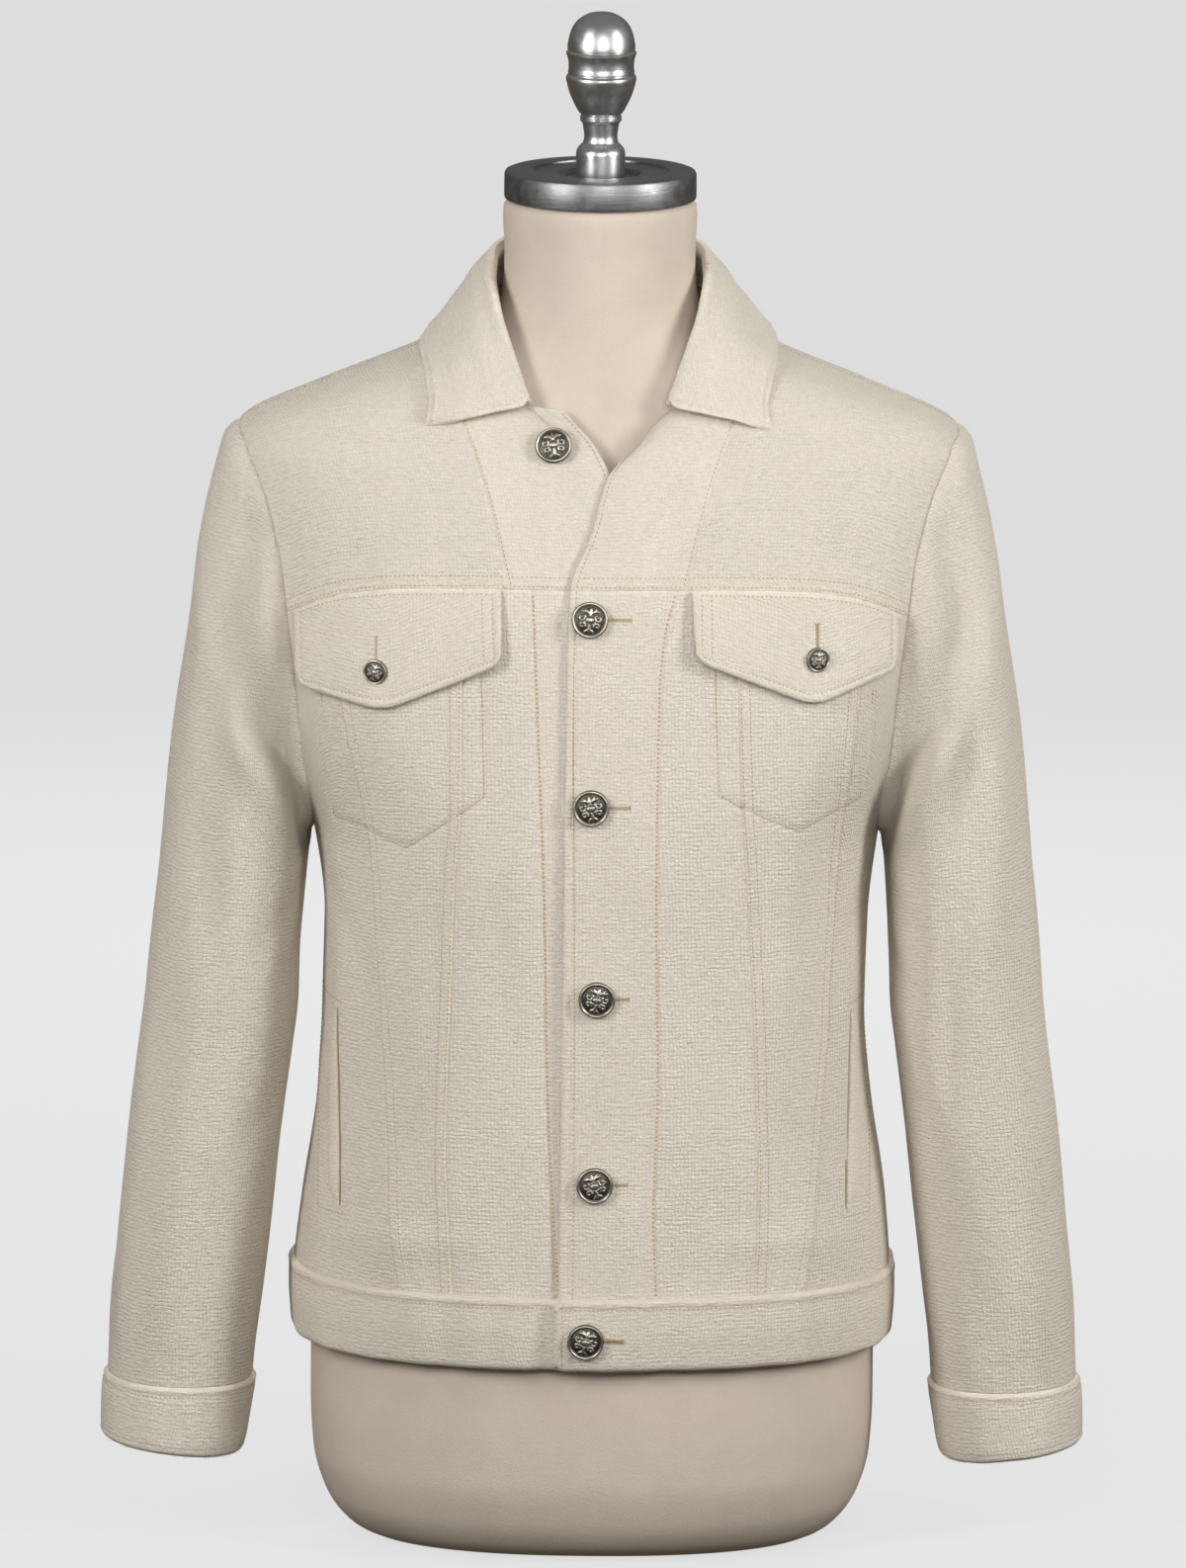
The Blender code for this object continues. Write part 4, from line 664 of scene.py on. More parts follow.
def wound_faces(rows: int, columns: int) -> list[Array]:
    """Faces of a ring's grid and of a fan to a pole at both ends; the poles come last."""
    index = closed(np.arange(rows * columns).reshape(rows, columns))
    pole = np.full(columns, rows * columns)
    first = np.stack([index[0, 1:], index[0, :-1], pole], -1)
    last = np.stack([index[-1, :-1], index[-1, 1:], pole + 1], -1)
    return [quads(index), np.concatenate([first, last])]


def stand_for(obj: bpy.types.Object, node: str) -> None:
    """Attach a piece to the root and hide the solid it stands for."""
    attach(obj, "root")
    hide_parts(node)


@dataclass
class ClothShell:
    """A thin closed shell of cloth on a (rows, columns, 3) grid of its outer side.

    Rows run bottom to top and columns start to end; edges names the finish of bottom, top,
    start and end. A ring's last column meets its first, and it has no start or end.
    """

    name: str
    base: Array
    normal: Array
    edges: tuple[EdgeKind, ...]
    wall: float = CLOTH_WALL
    ring: bool = False
    rim_steps: int = 3
    surface: Array = field(init=False)
    away: tuple[Array, ...] = field(init=False)

    def __post_init__(self) -> None:
        """Measure the distances to the borders and press the borders' relief in."""
        up, across = run_length(self.base), run_length(self.base, 1)
        self.away = (up, up[-1:] - up, across, across[:, -1:] - across)
        kinds = self.edges[:2] if self.ring else self.edges
        relief = sum(edge_relief(kind, away) for kind, away in zip(kinds, self.away))
        self.surface = self.base + relief[..., None] * self.normal

    def uv(self) -> Array:
        """Cloth coordinates in metres, measured along the surface from its middle line."""
        up, _, across, _ = self.away
        middle = across[:, across.shape[1] // 2][:, None]
        uv = np.stack([across - middle, up], -1)
        if not self.ring:
            return uv
        gap = np.linalg.norm(self.base[:, 0] - self.base[:, -1], axis=-1)
        last = np.stack([uv[:, -1, 0] + gap, uv[:, 0, 1]], -1)
        return np.concatenate([uv, last[:, None]], axis=1)

    def area(self) -> float:
        """Area of the outer side in square metres."""
        grid = closed(self.surface) if self.ring else self.surface
        cross = np.cross(grid[1:, 1:] - grid[:-1, :-1], grid[1:, :-1] - grid[:-1, 1:])
        return float(0.5 * np.linalg.norm(cross, axis=-1).sum())

    def flat_size(self) -> tuple[float, float]:
        """Width and length of the cut, all round on a tube."""
        uv = self.uv()
        width = float((uv[..., 0].max(axis=1) - uv[..., 0].min(axis=1)).max())
        return round(width + 0.0005, 3), round(float(uv[..., 1].max()) + 0.0005, 3)

    def line(self, edge: int, distance: float, trim: float = 0.0, trim_end: float | None = None,
             ) -> tuple[Array, Array]:
        """Points and normals on the outer side at a distance from one border.

        Args:
            edge: 0 bottom, 1 top, 2 start, 3 end.
            distance: Distance from that border in metres.
            trim: Length left off at both of the line's ends.
            trim_end: Length left off at its last end, where that differs.

        Returns:
            Points and normals, in the order of the border.
        """
        grid, normal, away = self.surface, self.normal, self.away[edge]
        if edge < 2:
            grid, normal, away = (np.swapaxes(a, 0, 1) for a in (grid, normal, away))
        if edge in (1, 3):
            grid, normal, away = grid[:, ::-1], normal[:, ::-1], away[:, ::-1]
        k = np.clip((away <= distance).sum(axis=1) - 1, 0, away.shape[1] - 2)
        row = np.arange(len(away))
        t = ((distance - away[row, k]) / (away[row, k + 1] - away[row, k]))[:, None]
        points = grid[row, k] * (1 - t) + grid[row, k + 1] * t
        normals = unit(normal[row, k] * (1 - t) + normal[row, k + 1] * t)
        length = run_length(points)
        last = length[-1] - (trim if trim_end is None else trim_end)
        keep = (length >= trim) & (length <= last)
        return points[keep], normals[keep]

    def border_loops(self) -> list[tuple[Array, Array]]:
        """Point numbers and rim bulges of each closed border, in the faces' own direction."""
        rows, columns = self.base.shape[:2]
        index = np.arange(rows * columns).reshape(rows, columns)
        swell = [0.45 * self.wall if kind is TURNED else 0.0 for kind in self.edges]
        if self.ring:
            return [(index[0], np.full(columns, swell[0])),
                    (index[-1, ::-1], np.full(columns, swell[1]))]
        runs = ((index[0, :-1], swell[0]), (index[:-1, -1], swell[3]),
                (index[-1, :0:-1], swell[1]), (index[:0:-1, 0], swell[2]))
        return [(np.concatenate([run for run, _ in runs]),
                 np.concatenate([np.full(len(run), out) for run, out in runs]))]

    def build(self, material: Material) -> bpy.types.Object:
        """Make the shell: outer side, inner side and a rounded rim between them."""
        rows, columns = self.base.shape[:2]
        count = rows * columns
        grid = np.arange(count).reshape(rows, columns)
        if self.ring:
            grid = closed(grid)
        uv = self.uv()
        places = np.arange(uv[..., 0].size).reshape(uv.shape[:2])
        outer = self.surface.reshape(-1, 3)
        inner = (self.surface - self.wall * self.normal).reshape(-1, 3)
        vertices = [outer, inner]
        faces = [quads(grid), quads(grid)[:, ::-1] + count]
        spots = [quads(places), quads(places)[:, ::-1]]
        outward = np.zeros_like(self.base)
        outward[0] += unit(self.surface[0] - self.surface[1])
        outward[-1] += unit(self.surface[-1] - self.surface[-2])
        if not self.ring:
            outward[:, 0] += unit(self.surface[:, 0] - self.surface[:, 1])
            outward[:, -1] += unit(self.surface[:, -1] - self.surface[:, -2])
        direction = unit(outward.reshape(-1, 3))
        next_number = 2 * count
        for loop, swell in self.border_loops():
            steps = self.rim_steps if swell.max() > 0.0 else 0
            middle, half = 0.5 * (outer[loop] + inner[loop]), 0.5 * (outer[loop] - inner[loop])
            rings = [loop]
            for k in range(1, steps + 1):
                turn = math.pi * k / (steps + 1)
                vertices.append(middle + math.cos(turn) * half
                                + (math.sin(turn) * swell)[:, None] * direction[loop])
                rings.append(np.arange(next_number, next_number + len(loop)))
                next_number += len(loop)
            rings.append(loop + count)
            place = loop if not self.ring else (loop // columns) * (columns + 1) + loop % columns
            following = np.roll(place, -1)
            for a, b in zip(rings[:-1], rings[1:]):
                faces.append(np.stack([np.roll(a, -1), a, b, np.roll(b, -1)], -1))
                spots.append(np.stack([following, place, place, following], -1))
        corner_uv = uv.reshape(-1, 2)[np.concatenate(spots).ravel()]
        return new_mesh_object(self.name, np.concatenate(vertices), [np.concatenate(faces)],
                               material, corner_uv)


def dress(shell: ClothShell, material: Material, node: str) -> None:
    """Make a shell in place of one solid, and log its flat size and area."""
    obj = shell.build(material)
    stand_for(obj, node)
    flat = shell.flat_size()
    area = min(shell.area(), flat[0] * flat[1])
    LOG.info("cloth %s: flat %.3f x %.3f m, area %.4f m2", obj.name, *flat, area)


# ---------------------------------------------------------------- thread
@dataclass
class StitchRun:
    """Topstitching in one thread: small rounded bars that dive into the cloth at both ends.

    Each bar is a tube of square section along the row, bent by the square of the distance
    from its middle.
    """

    name: str
    pitch: float = 0.0029
    length: float = 0.0027
    radius: float = 0.00031
    bars: list[tuple[Array, Array, Array]] = field(default_factory=list)

    def add(self, points: Array, normals: Array) -> None:
        """Sew one row along a line of points with the cloth's normals."""
        if len(points) < 2:
            return
        length = run_length(points)
        count = int(length[-1] / self.pitch)
        if count < 1:
            return
        at = (np.arange(count) + 0.5) * length[-1] / count
        place, ahead, behind = (read_along(at + step, length, points)
                                for step in (0.0, 0.0006, -0.0006))
        self.bars.append((place, unit(ahead - behind), unit(read_along(at, length, normals))))

    def add_across(self, row: Array, normal: Array, cross: Array) -> None:
        """Sew stitches that lie across a row instead of along it."""
        length = np.linalg.norm(np.diff(row, axis=0), axis=1).sum()
        count = max(int(length / self.pitch), 2)
        pick = np.linspace(0, len(row) - 1, count).round().astype(int)
        self.bars.append((row[pick], cross[pick], normal[pick]))

    def build(self, material: Material) -> None:
        """Make all the rows as one object."""
        place, along, normal = (np.concatenate(parts) for parts in zip(*self.bars))
        side = unit(np.cross(normal, along))
        jitter = np.random.default_rng(5).normal(0.0, 0.05, (len(place), 1))
        along = unit(along + jitter * side)
        share = np.array([-1.0, 0.0, 1.0])
        thick = np.array([0.55, 1.0, 0.55]) * self.radius
        rise = 0.00010 - 0.00042 * share ** 2
        turn = round_turn(4)
        ring = (thick[:, None, None] * (np.cos(turn)[None, :, None] * side[:, None, None]
                                        + np.sin(turn)[None, :, None] * normal[:, None, None]))
        centre = (place[:, None] + 0.5 * self.length * share[None, :, None] * along[:, None]
                  + rise[None, :, None] * normal[:, None])
        points = (centre[:, :, None] + ring).reshape(-1, 3)
        index = np.arange(12).reshape(3, 4)
        one = np.concatenate([quads(closed(index)), index[:1, ::-1], index[2:]])
        faces = (one[None] + 12 * np.arange(len(place))[:, None, None]).reshape(-1, 4)
        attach(new_mesh_object(self.name, points, [faces], material, sharp=80.0), "root")
        LOG.info("thread %s: %d stitches", self.name, len(place))


@dataclass
class NapFringe:
    """Short loose fibres along the free edges of the cloth.

    Each is a three-sided cone bent by the square of the way to its tip: root + t * length *
    direction + t^2 * bend.
    """

    name: str
    per_metre: float = 2200.0
    radius: float = 0.00008
    roots: list[tuple[Array, Array, Array, Array]] = field(default_factory=list)

    def add(self, shell: ClothShell, edge: int, reach: float = 1.0) -> None:
        """Let fibres stand off one border of a shell, up to a share of its length."""
        points, normals = shell.line(edge, 0.0001)
        outward = unit(points - shell.line(edge, 0.0022)[0])
        length = run_length(points)
        span = reach * length[-1]
        chance = np.random.default_rng(len(self.roots) + 3)
        at = chance.uniform(0.0, span, int(span * self.per_metre))
        root, normal, away = (read_along(at, length, rows) for rows in (points, normals, outward))
        depth = chance.uniform(0.0, 1.0, (len(at), 1))
        root = root - depth * shell.wall * normal + 0.30 * shell.wall * away
        along = unit(np.cross(normal, away))
        lean = chance.normal(0.0, 0.8, (len(at), 2))
        direction = unit(away + (lean[:, :1] + 0.5 - depth) * normal + lean[:, 1:] * along)
        bend = chance.normal(0.0, 0.0005, (len(at), 3)) - np.array([0.0, 0.0, 0.0002])
        size = chance.uniform(0.0006, 0.0019, (len(at), 1))
        self.roots.append((root, direction * size, bend, along))

    def build(self, material: Material) -> None:
        """Make all the fibres as one object."""
        root, reach, bend, along = (np.concatenate(parts) for parts in zip(*self.roots))
        side = unit(np.cross(reach, along))
        other = unit(np.cross(unit(reach), side))
        turn = round_turn(3)
        ring = (np.cos(turn)[None, :, None] * side[:, None]
                + np.sin(turn)[None, :, None] * other[:, None]) * self.radius
        middle = root + 0.5 * reach + 0.25 * bend
        points = np.concatenate([root[:, None] + ring, middle[:, None] + 0.8 * ring,
                                 (root + reach + bend)[:, None]], axis=1).reshape(-1, 3)
        start = 7 * np.arange(len(root))[:, None, None]
        body = np.array([[0, 1, 4, 3], [1, 2, 5, 4], [2, 0, 3, 5]])
        ends = np.array([[3, 4, 6], [4, 5, 6], [5, 3, 6], [2, 1, 0]])
        faces = [(body[None] + start).reshape(-1, 4), (ends[None] + start).reshape(-1, 3)]
        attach(new_mesh_object(self.name, points, faces, material, sharp=180.0), "root")
        LOG.info("nap %s: %d fibres", self.name, len(root))


# ---------------------------------------------------------------- shaders
def feed(node: bpy.types.Node, values: dict, links: dict | None = None) -> None:
    """Set a node's input sockets.

    Args:
        node: The node that is fed.
        values: Socket name or number to constant.
        links: Socket name or number to an output socket, or to a node for its first one.
    """
    for key, value in values.items():
        node.inputs[key].default_value = value
    for key, source in (links or {}).items():
        socket = source.outputs[0] if isinstance(source, bpy.types.Node) else source
        node.id_data.links.new(socket, node.inputs[key])


def add_node(tree: bpy.types.NodeTree, kind: str, values: dict | None = None,
             links: dict | None = None, **settings: object) -> bpy.types.Node:
    """Add one shader node.

    Args:
        tree: The material's node tree.
        kind: The part of Blender's node type name after ShaderNode.
        values: Socket name or number to constant.
        links: Socket name or number to the node or output socket that feeds it.
        **settings: The node's own fields.

    Returns:
        The new node.
    """
    node = tree.nodes.new(f"ShaderNode{kind}")
    for key, value in settings.items():
        setattr(node, key, value)
    feed(node, values or {}, links)
    return node


def new_material(name: str) -> tuple[Material, bpy.types.NodeTree, bpy.types.Node]:
    """An empty principled material: itself, its tree and its shader node."""
    material = bpy.data.materials.new(name)
    material.use_nodes = True
    tree = material.node_tree
    return material, tree, tree.nodes["Principled BSDF"]


@dataclass(frozen=True)
class WaffleCloth:
    """Brushed waffle weave of silk and wool: small raised squares under a short uneven nap.

    The squares give the eye a fine grid of soft shadows, from their bumps and from painted shade:
    the colour darkens where the relief is low. The nap blurs the grid in patches and gives
    a pale bloom at the edges of the form. The period is the weave's spacing in metres.
    """

    name: str
    light: str
    # colour of the relief's low points: painted shade in the hollows of the weave
    groove_shade: str
    depth: float
    nap: float
    lump: float
    period: float = 0.0023

    def build(self) -> Material:
        """Make the shader from the cloth's own UV in metres."""
        material, tree, shader = new_material(self.name)
        uv = add_node(tree, "UVMap", uv_map="cloth")
        crosswise = add_node(tree, "Mapping", {"Scale": (0.5, 1.0, 1.0)}, {0: uv})
        drift, patches, fibre, lumps = (
            add_node(tree, "TexNoise", {"Scale": scale, "Detail": detail, "Roughness": rough},
                     {0: place}, noise_dimensions="2D")
            for scale, detail, rough, place in (
                (60.0, 4.0, 0.68, uv), (44.0, 6.0, 0.72, uv), (1500.0, 3.0, 0.65, uv),
                (420.0, 3.0, 0.60, crosswise)))
        centred = add_node(tree, "VectorMath", {1: (0.5, 0.5, 0.5)}, {0: drift.outputs["Color"]},
                           operation="SUBTRACT")
        shift = add_node(tree, "VectorMath", {"Scale": 0.0048}, {0: centred}, operation="SCALE")
        moved = add_node(tree, "VectorMath", None, {0: uv, 1: shift}, operation="ADD")
        parts = add_node(tree, "SeparateXYZ", None, {0: moved})
        waves = []
        for axis, period in ((0, self.period), (1, self.period * 1.1)):
            scaled = add_node(tree, "Math", {1: math.pi / period}, {0: parts.outputs[axis]},
                              operation="MULTIPLY")
            waves.append(add_node(tree, "Math", None, {0: scaled}, operation="SINE"))
        product = add_node(tree, "Math", None, {0: waves[0], 1: waves[1]}, operation="MULTIPLY")
        size = add_node(tree, "Math", None, {0: product}, operation="ABSOLUTE")
        square = add_node(tree, "Math", {1: 0.55}, {0: size}, operation="POWER")
        checker = add_node(tree, "Math", {1: 0.16}, {0: product}, operation="MULTIPLY")
        weave = add_node(tree, "Math", None, {0: square, 1: checker}, operation="ADD")
        cover = add_node(tree, "MapRange",
                         {"From Min": 0.36, "From Max": 0.62,
                          "To Min": 1.15 * (1.0 - 0.45 * self.nap),
                          "To Max": 0.9 - 0.9 * self.nap}, {"Value": patches})
        shown = add_node(tree, "Math", None, {0: weave, 1: cover}, operation="MULTIPLY")
        with_fibre = add_node(tree, "Math", {1: 1.1}, {0: fibre, 2: shown},
                              operation="MULTIPLY_ADD")
        height = add_node(tree, "Math", {1: self.lump}, {0: lumps, 2: with_fibre},
                          operation="MULTIPLY_ADD")
        bump = add_node(tree, "Bump", {"Strength": 1.0, "Distance": self.depth},
                        {"Height": height})
        # Colour follows the relief's height: the darker groove_shade colour in low places is painted
        # shade in the hollows of the weave and its lumps.
        tone = add_node(tree, "MapRange", {"From Min": 0.15 + 0.33 * self.lump,
                                           "From Max": 1.35 + 0.62 * self.lump},
                        {"Value": height})
        colour = add_node(tree, "Mix", {6: hex_linear(self.groove_shade), 7: hex_linear(self.light)},
                          {0: tone}, data_type="RGBA")
        feed(shader, {"Roughness": 0.92, "Specular IOR Level": 0.25, "Sheen Weight": 0.34,
                      "Sheen Roughness": 0.45, "Sheen Tint": hex_linear("fff6e4")},
             {"Base Color": colour.outputs[2], "Normal": bump})
        return material


@dataclass(frozen=True)
class SpunThread:
    """Twisted silk topstitching thread, a shade more golden than the cloth."""

    name: str
    colour: str = "c8ad72"
    shade: str = "a0864f"
    roughness: float = 0.55

    def build(self) -> Material:
        """Make the shader, with a faint change of tone along the rows."""
        material, tree, shader = new_material(self.name)
        place = add_node(tree, "TexCoord").outputs["Object"]
        noise = add_node(tree, "TexNoise", {"Scale": 260.0}, {0: place})
        colour = add_node(tree, "Mix", {6: hex_linear(self.shade), 7: hex_linear(self.colour)},
                          {0: noise}, data_type="RGBA")
        feed(shader, {"Roughness": self.roughness, "Sheen Weight": 0.2},
             {"Base Color": colour.outputs[2]})
        return material


@dataclass(frozen=True)
class AntiqueSilver:
    """Die-struck buttons, silver plated, blackened and rubbed back on the raised parts.

    The dark hollows and bright ridges carry the ornament even in flat light.
    """

    name: str
    bright: str = "e6dfd0"
    dark: str = "2a241e"

    def build(self) -> Material:
        """Make the shader; the mesh's own 'rubbed' values say how bright each point is."""
        material, tree, shader = new_material(self.name)
        rubbed = add_node(tree, "Attribute", attribute_name="rubbed").outputs["Fac"]
        place = add_node(tree, "TexCoord").outputs["Object"]
        noise = add_node(tree, "TexNoise", {"Scale": 900.0, "Detail": 3.0}, {0: place})
        uneven = add_node(tree, "Math", {1: 0.35, 2: -0.17}, {0: noise},
                          operation="MULTIPLY_ADD")
        share = add_node(tree, "Math", None, {0: rubbed, 1: uneven}, operation="ADD",
                         use_clamp=True)
        colour = add_node(tree, "Mix", {6: hex_linear(self.dark), 7: hex_linear(self.bright)},
                          {0: share}, data_type="RGBA")
        rough = add_node(tree, "MapRange", {"To Min": 0.55, "To Max": 0.28}, {"Value": share})
        feed(shader, {"Metallic": 1.0}, {"Base Color": colour.outputs[2], "Roughness": rough})
        return material


@dataclass(frozen=True)
class FormCanvas:
    """Off-white cotton canvas stretched over the form: a fine even plain weave."""

    name: str
    light: str = "dacdbf"
    shade: str = "c4b6a4"

    def build(self) -> Material:
        """Make the shader from object coordinates."""
        material, tree, shader = new_material(self.name)
        place = add_node(tree, "TexCoord").outputs["Object"]
        weave = add_node(tree, "TexNoise", {"Scale": 800.0, "Detail": 3.0}, {0: place})
        cloud = add_node(tree, "TexNoise", {"Scale": 22.0, "Detail": 8.0, "Roughness": 0.72},
                         {0: place})
        bump = add_node(tree, "Bump", {"Strength": 0.8, "Distance": 0.00035}, {"Height": weave})
        colour = add_node(tree, "Mix", {6: hex_linear(self.shade), 7: hex_linear(self.light)},
                          {0: cloud}, data_type="RGBA")
        feed(shader, {"Roughness": 0.85}, {"Base Color": colour.outputs[2], "Normal": bump})
        return material


@dataclass(frozen=True)
class TurnedAluminium:
    """Aluminium turned on a lathe; rings left by the tool, polished or only brushed."""

    name: str
    colour: str
    roughness: float
    rings: float
    ring_scale: float = 2200.0

    def build(self) -> Material:
        """Make the shader: noise read by radius and height alone draws the tool's rings."""
        material, tree, shader = new_material(self.name)
        place = add_node(tree, "TexCoord").outputs["Object"]
        parts = add_node(tree, "SeparateXYZ", None, {0: place}).outputs
        flat = add_node(tree, "CombineXYZ", None, {0: parts[0], 1: parts[1]})
        radius = add_node(tree, "VectorMath", None, {0: flat}, operation="LENGTH")
        turned = add_node(tree, "CombineXYZ", None, {0: radius.outputs["Value"], 1: parts[2]})
        marks = add_node(tree, "TexNoise", {"Scale": self.ring_scale, "Detail": 2.0},
                         {0: turned}, noise_dimensions="2D")
        squeezed = add_node(tree, "Mapping", {"Scale": (45.0, 45.0, 1100.0)}, {0: place})
        scratches = add_node(tree, "TexNoise", {"Scale": 1.0, "Detail": 5.0}, {0: squeezed})
        both = add_node(tree, "Math", {1: 1.5}, {0: scratches, 2: marks},
                        operation="MULTIPLY_ADD")
        cast = add_node(tree, "TexNoise", {"Scale": 120.0, "Detail": 8.0, "Roughness": 0.7},
                        {0: place})
        bump = add_node(tree, "Bump", {"Strength": 1.0, "Distance": self.rings},
                        {"Height": both})
        rough = add_node(tree, "MapRange",
                         {"From Min": 0.3, "From Max": 0.7, "To Min": self.roughness * 0.75,
                          "To Max": self.roughness * 1.3}, {"Value": cast})
        feed(shader, {"Base Color": hex_linear(self.colour), "Metallic": 1.0},
             {"Normal": bump, "Roughness": rough})
        return material


@dataclass(frozen=True)
class PlainMatte:
    """An even matte surface, for the studio floor and the painted shade inside a slit."""

    name: str
    colour: str
    roughness: float = 0.9
    glow: float = 0.0

    def build(self) -> Material:
        """Make the shader; glow stands for a floor lit evenly from far lamps."""
        material, _, shader = new_material(self.name)
        feed(shader, {"Emission Color": (1.0, 1.0, 1.0, 1.0), "Emission Strength": self.glow,
                      "Base Color": hex_linear(self.colour), "Roughness": self.roughness,
                      "Specular IOR Level": 0.1})
        return material


@dataclass(frozen=True)
class Finishes:
    """Every material of the jacket and its form."""

    panel: Material
    middle: Material
    smooth: Material
    thread: Material
    fibre: Material
    silver: Material
    canvas: Material
    cap: Material
    finial: Material
    # dark matte of painted shade, laid in pocket and buttonhole slits
    dark: Material

    @classmethod
    def made(cls) -> "Finishes":
        """Build the whole set."""
        recipes = {
            "panel": WaffleCloth("waffle_cloth_open", "f6eee0", "ded2be", 0.00078, 0.40, 1.7),
            "middle": WaffleCloth("waffle_cloth_wide", "f8f0e2", "dcd0bb", 0.00070, 0.30, 1.5,
                                  period=0.0024),
            "smooth": WaffleCloth("waffle_cloth_napped", "f4ecdf", "ddd1bd", 0.00062, 0.58, 1.6),
            "thread": SpunThread("topstitch_silk"),
            "fibre": SpunThread("loose_wool_fibre", "f1ecdf", "ded5c2", 0.8),
            "silver": AntiqueSilver("antique_silver"),
            "canvas": FormCanvas("form_cotton_canvas"),
            "cap": TurnedAluminium("cap_brushed_aluminium", "929292", 0.42, 0.00008),
            "finial": TurnedAluminium("finial_polished_aluminium", "cccccc", 0.33, 0.00002),
            "dark": PlainMatte("slit_shadow_cloth", "9c8e75")}
        return cls(**{finish: recipe.build() for finish, recipe in recipes.items()})


# ---------------------------------------------------------------- seam curves
def seam_path(table: tuple, z_low: float, z_high: float, sign: float) -> Array:
    """Fine (angle, z) path of an upright seam given as (height, x) rows."""
    z = np.linspace(z_low, z_high, 160)
    return np.stack([BODY.angle_of_x(sign * smooth_pair(z, table), z), z], -1)


def yoke_height(x: Array) -> Array:
    """Height of the front yoke seam at a distance from the centre line."""
    return smooth_pair(np.abs(x), YOKE_SEAM)


def yoke_path(x_from: float, x_to: float) -> Array:
    """Fine path of the yoke seam between two signed x values."""
    x = np.linspace(x_from, x_to, 120)
    z = yoke_height(x)
    return np.stack([BODY.angle_of_x(x, z), z], -1)


def level_path(angle_from: float, angle_to: float, z: float) -> Array:
    """Fine level path between two angles."""
    angle = np.linspace(angle_from, angle_to, 160)
    return np.stack([angle, np.full_like(angle, z)], -1)


def armhole_path(z_low: float, z_high: float, column: int) -> Array:
    """Fine path up the +X armhole between two heights, along its front (1) or back (2)."""
    rows = np.array(ARMHOLE_ROWS)[:, [0, column]]
    length = run_length(rows)
    z, y = smooth_columns(np.linspace(0.0, length[-1], 900), length, rows)
    keep = (z >= z_low - 1e-9) & (z <= z_high + 1e-9)
    return np.stack([BODY.angle_of_y(y[keep], z[keep]), z[keep]], -1)[::-1]


def side_edge(column: int, v: Array) -> Array:
    """Side seam, then lower armhole of the +X side, at the given shares of its height."""
    low = v <= LOWER_SHARE + 1e-9
    z = WAIST_Z + (UNDERARM_Z - WAIST_Z) * v[low] / LOWER_SHARE
    seam = np.stack([np.full_like(z, math.pi / 2.0), z], -1)
    arm = sample(armhole_path(UNDERARM_Z, YOKE_ARMHOLE_Z, column),
                 (v[~low] - LOWER_SHARE) / (1.0 - LOWER_SHARE))
    return np.concatenate([seam, arm])


def to_side(path: Array, sign: float) -> Array:
    """The (angle, z) path of the +X side, or its mirror image on the -X side for sign -1."""
    return path * np.array([sign, 1.0])


def past_back(path: Array) -> Array:
    """The path mirrored to the -X side, with its angles counted on past 180 degrees."""
    return to_side(path, -1.0) + np.array([FULL_TURN, 0.0])


def neckline_height(angle: Array) -> Array:
    """Height of the neckline seam at an angle from the front."""
    return smooth_pair(np.degrees(np.abs(angle)), NECKLINE)


def shoulder_path() -> Array:
    """Fine path of the +X shoulder seam of the yoke, outward."""
    z_all = np.linspace(0.700, 0.800, 400)
    x = np.linspace(SHOULDER_SPLIT_X, SHOULDER_X, 120)
    z = np.interp(-x, -BODY.section(z_all)[0], z_all)
    z[-1] = SHOULDER_TOP_Z
    return np.stack([np.full_like(z, math.pi / 2.0), z], -1)


# ---------------------------------------------------------------- sub-assemblies
@dataclass
class ClothWork:
    """A sub-assembly of cloth, with the finishes, topstitching and loose nap of the jacket."""

    finishes: Finishes
    stitches: StitchRun
    fringe: NapFringe


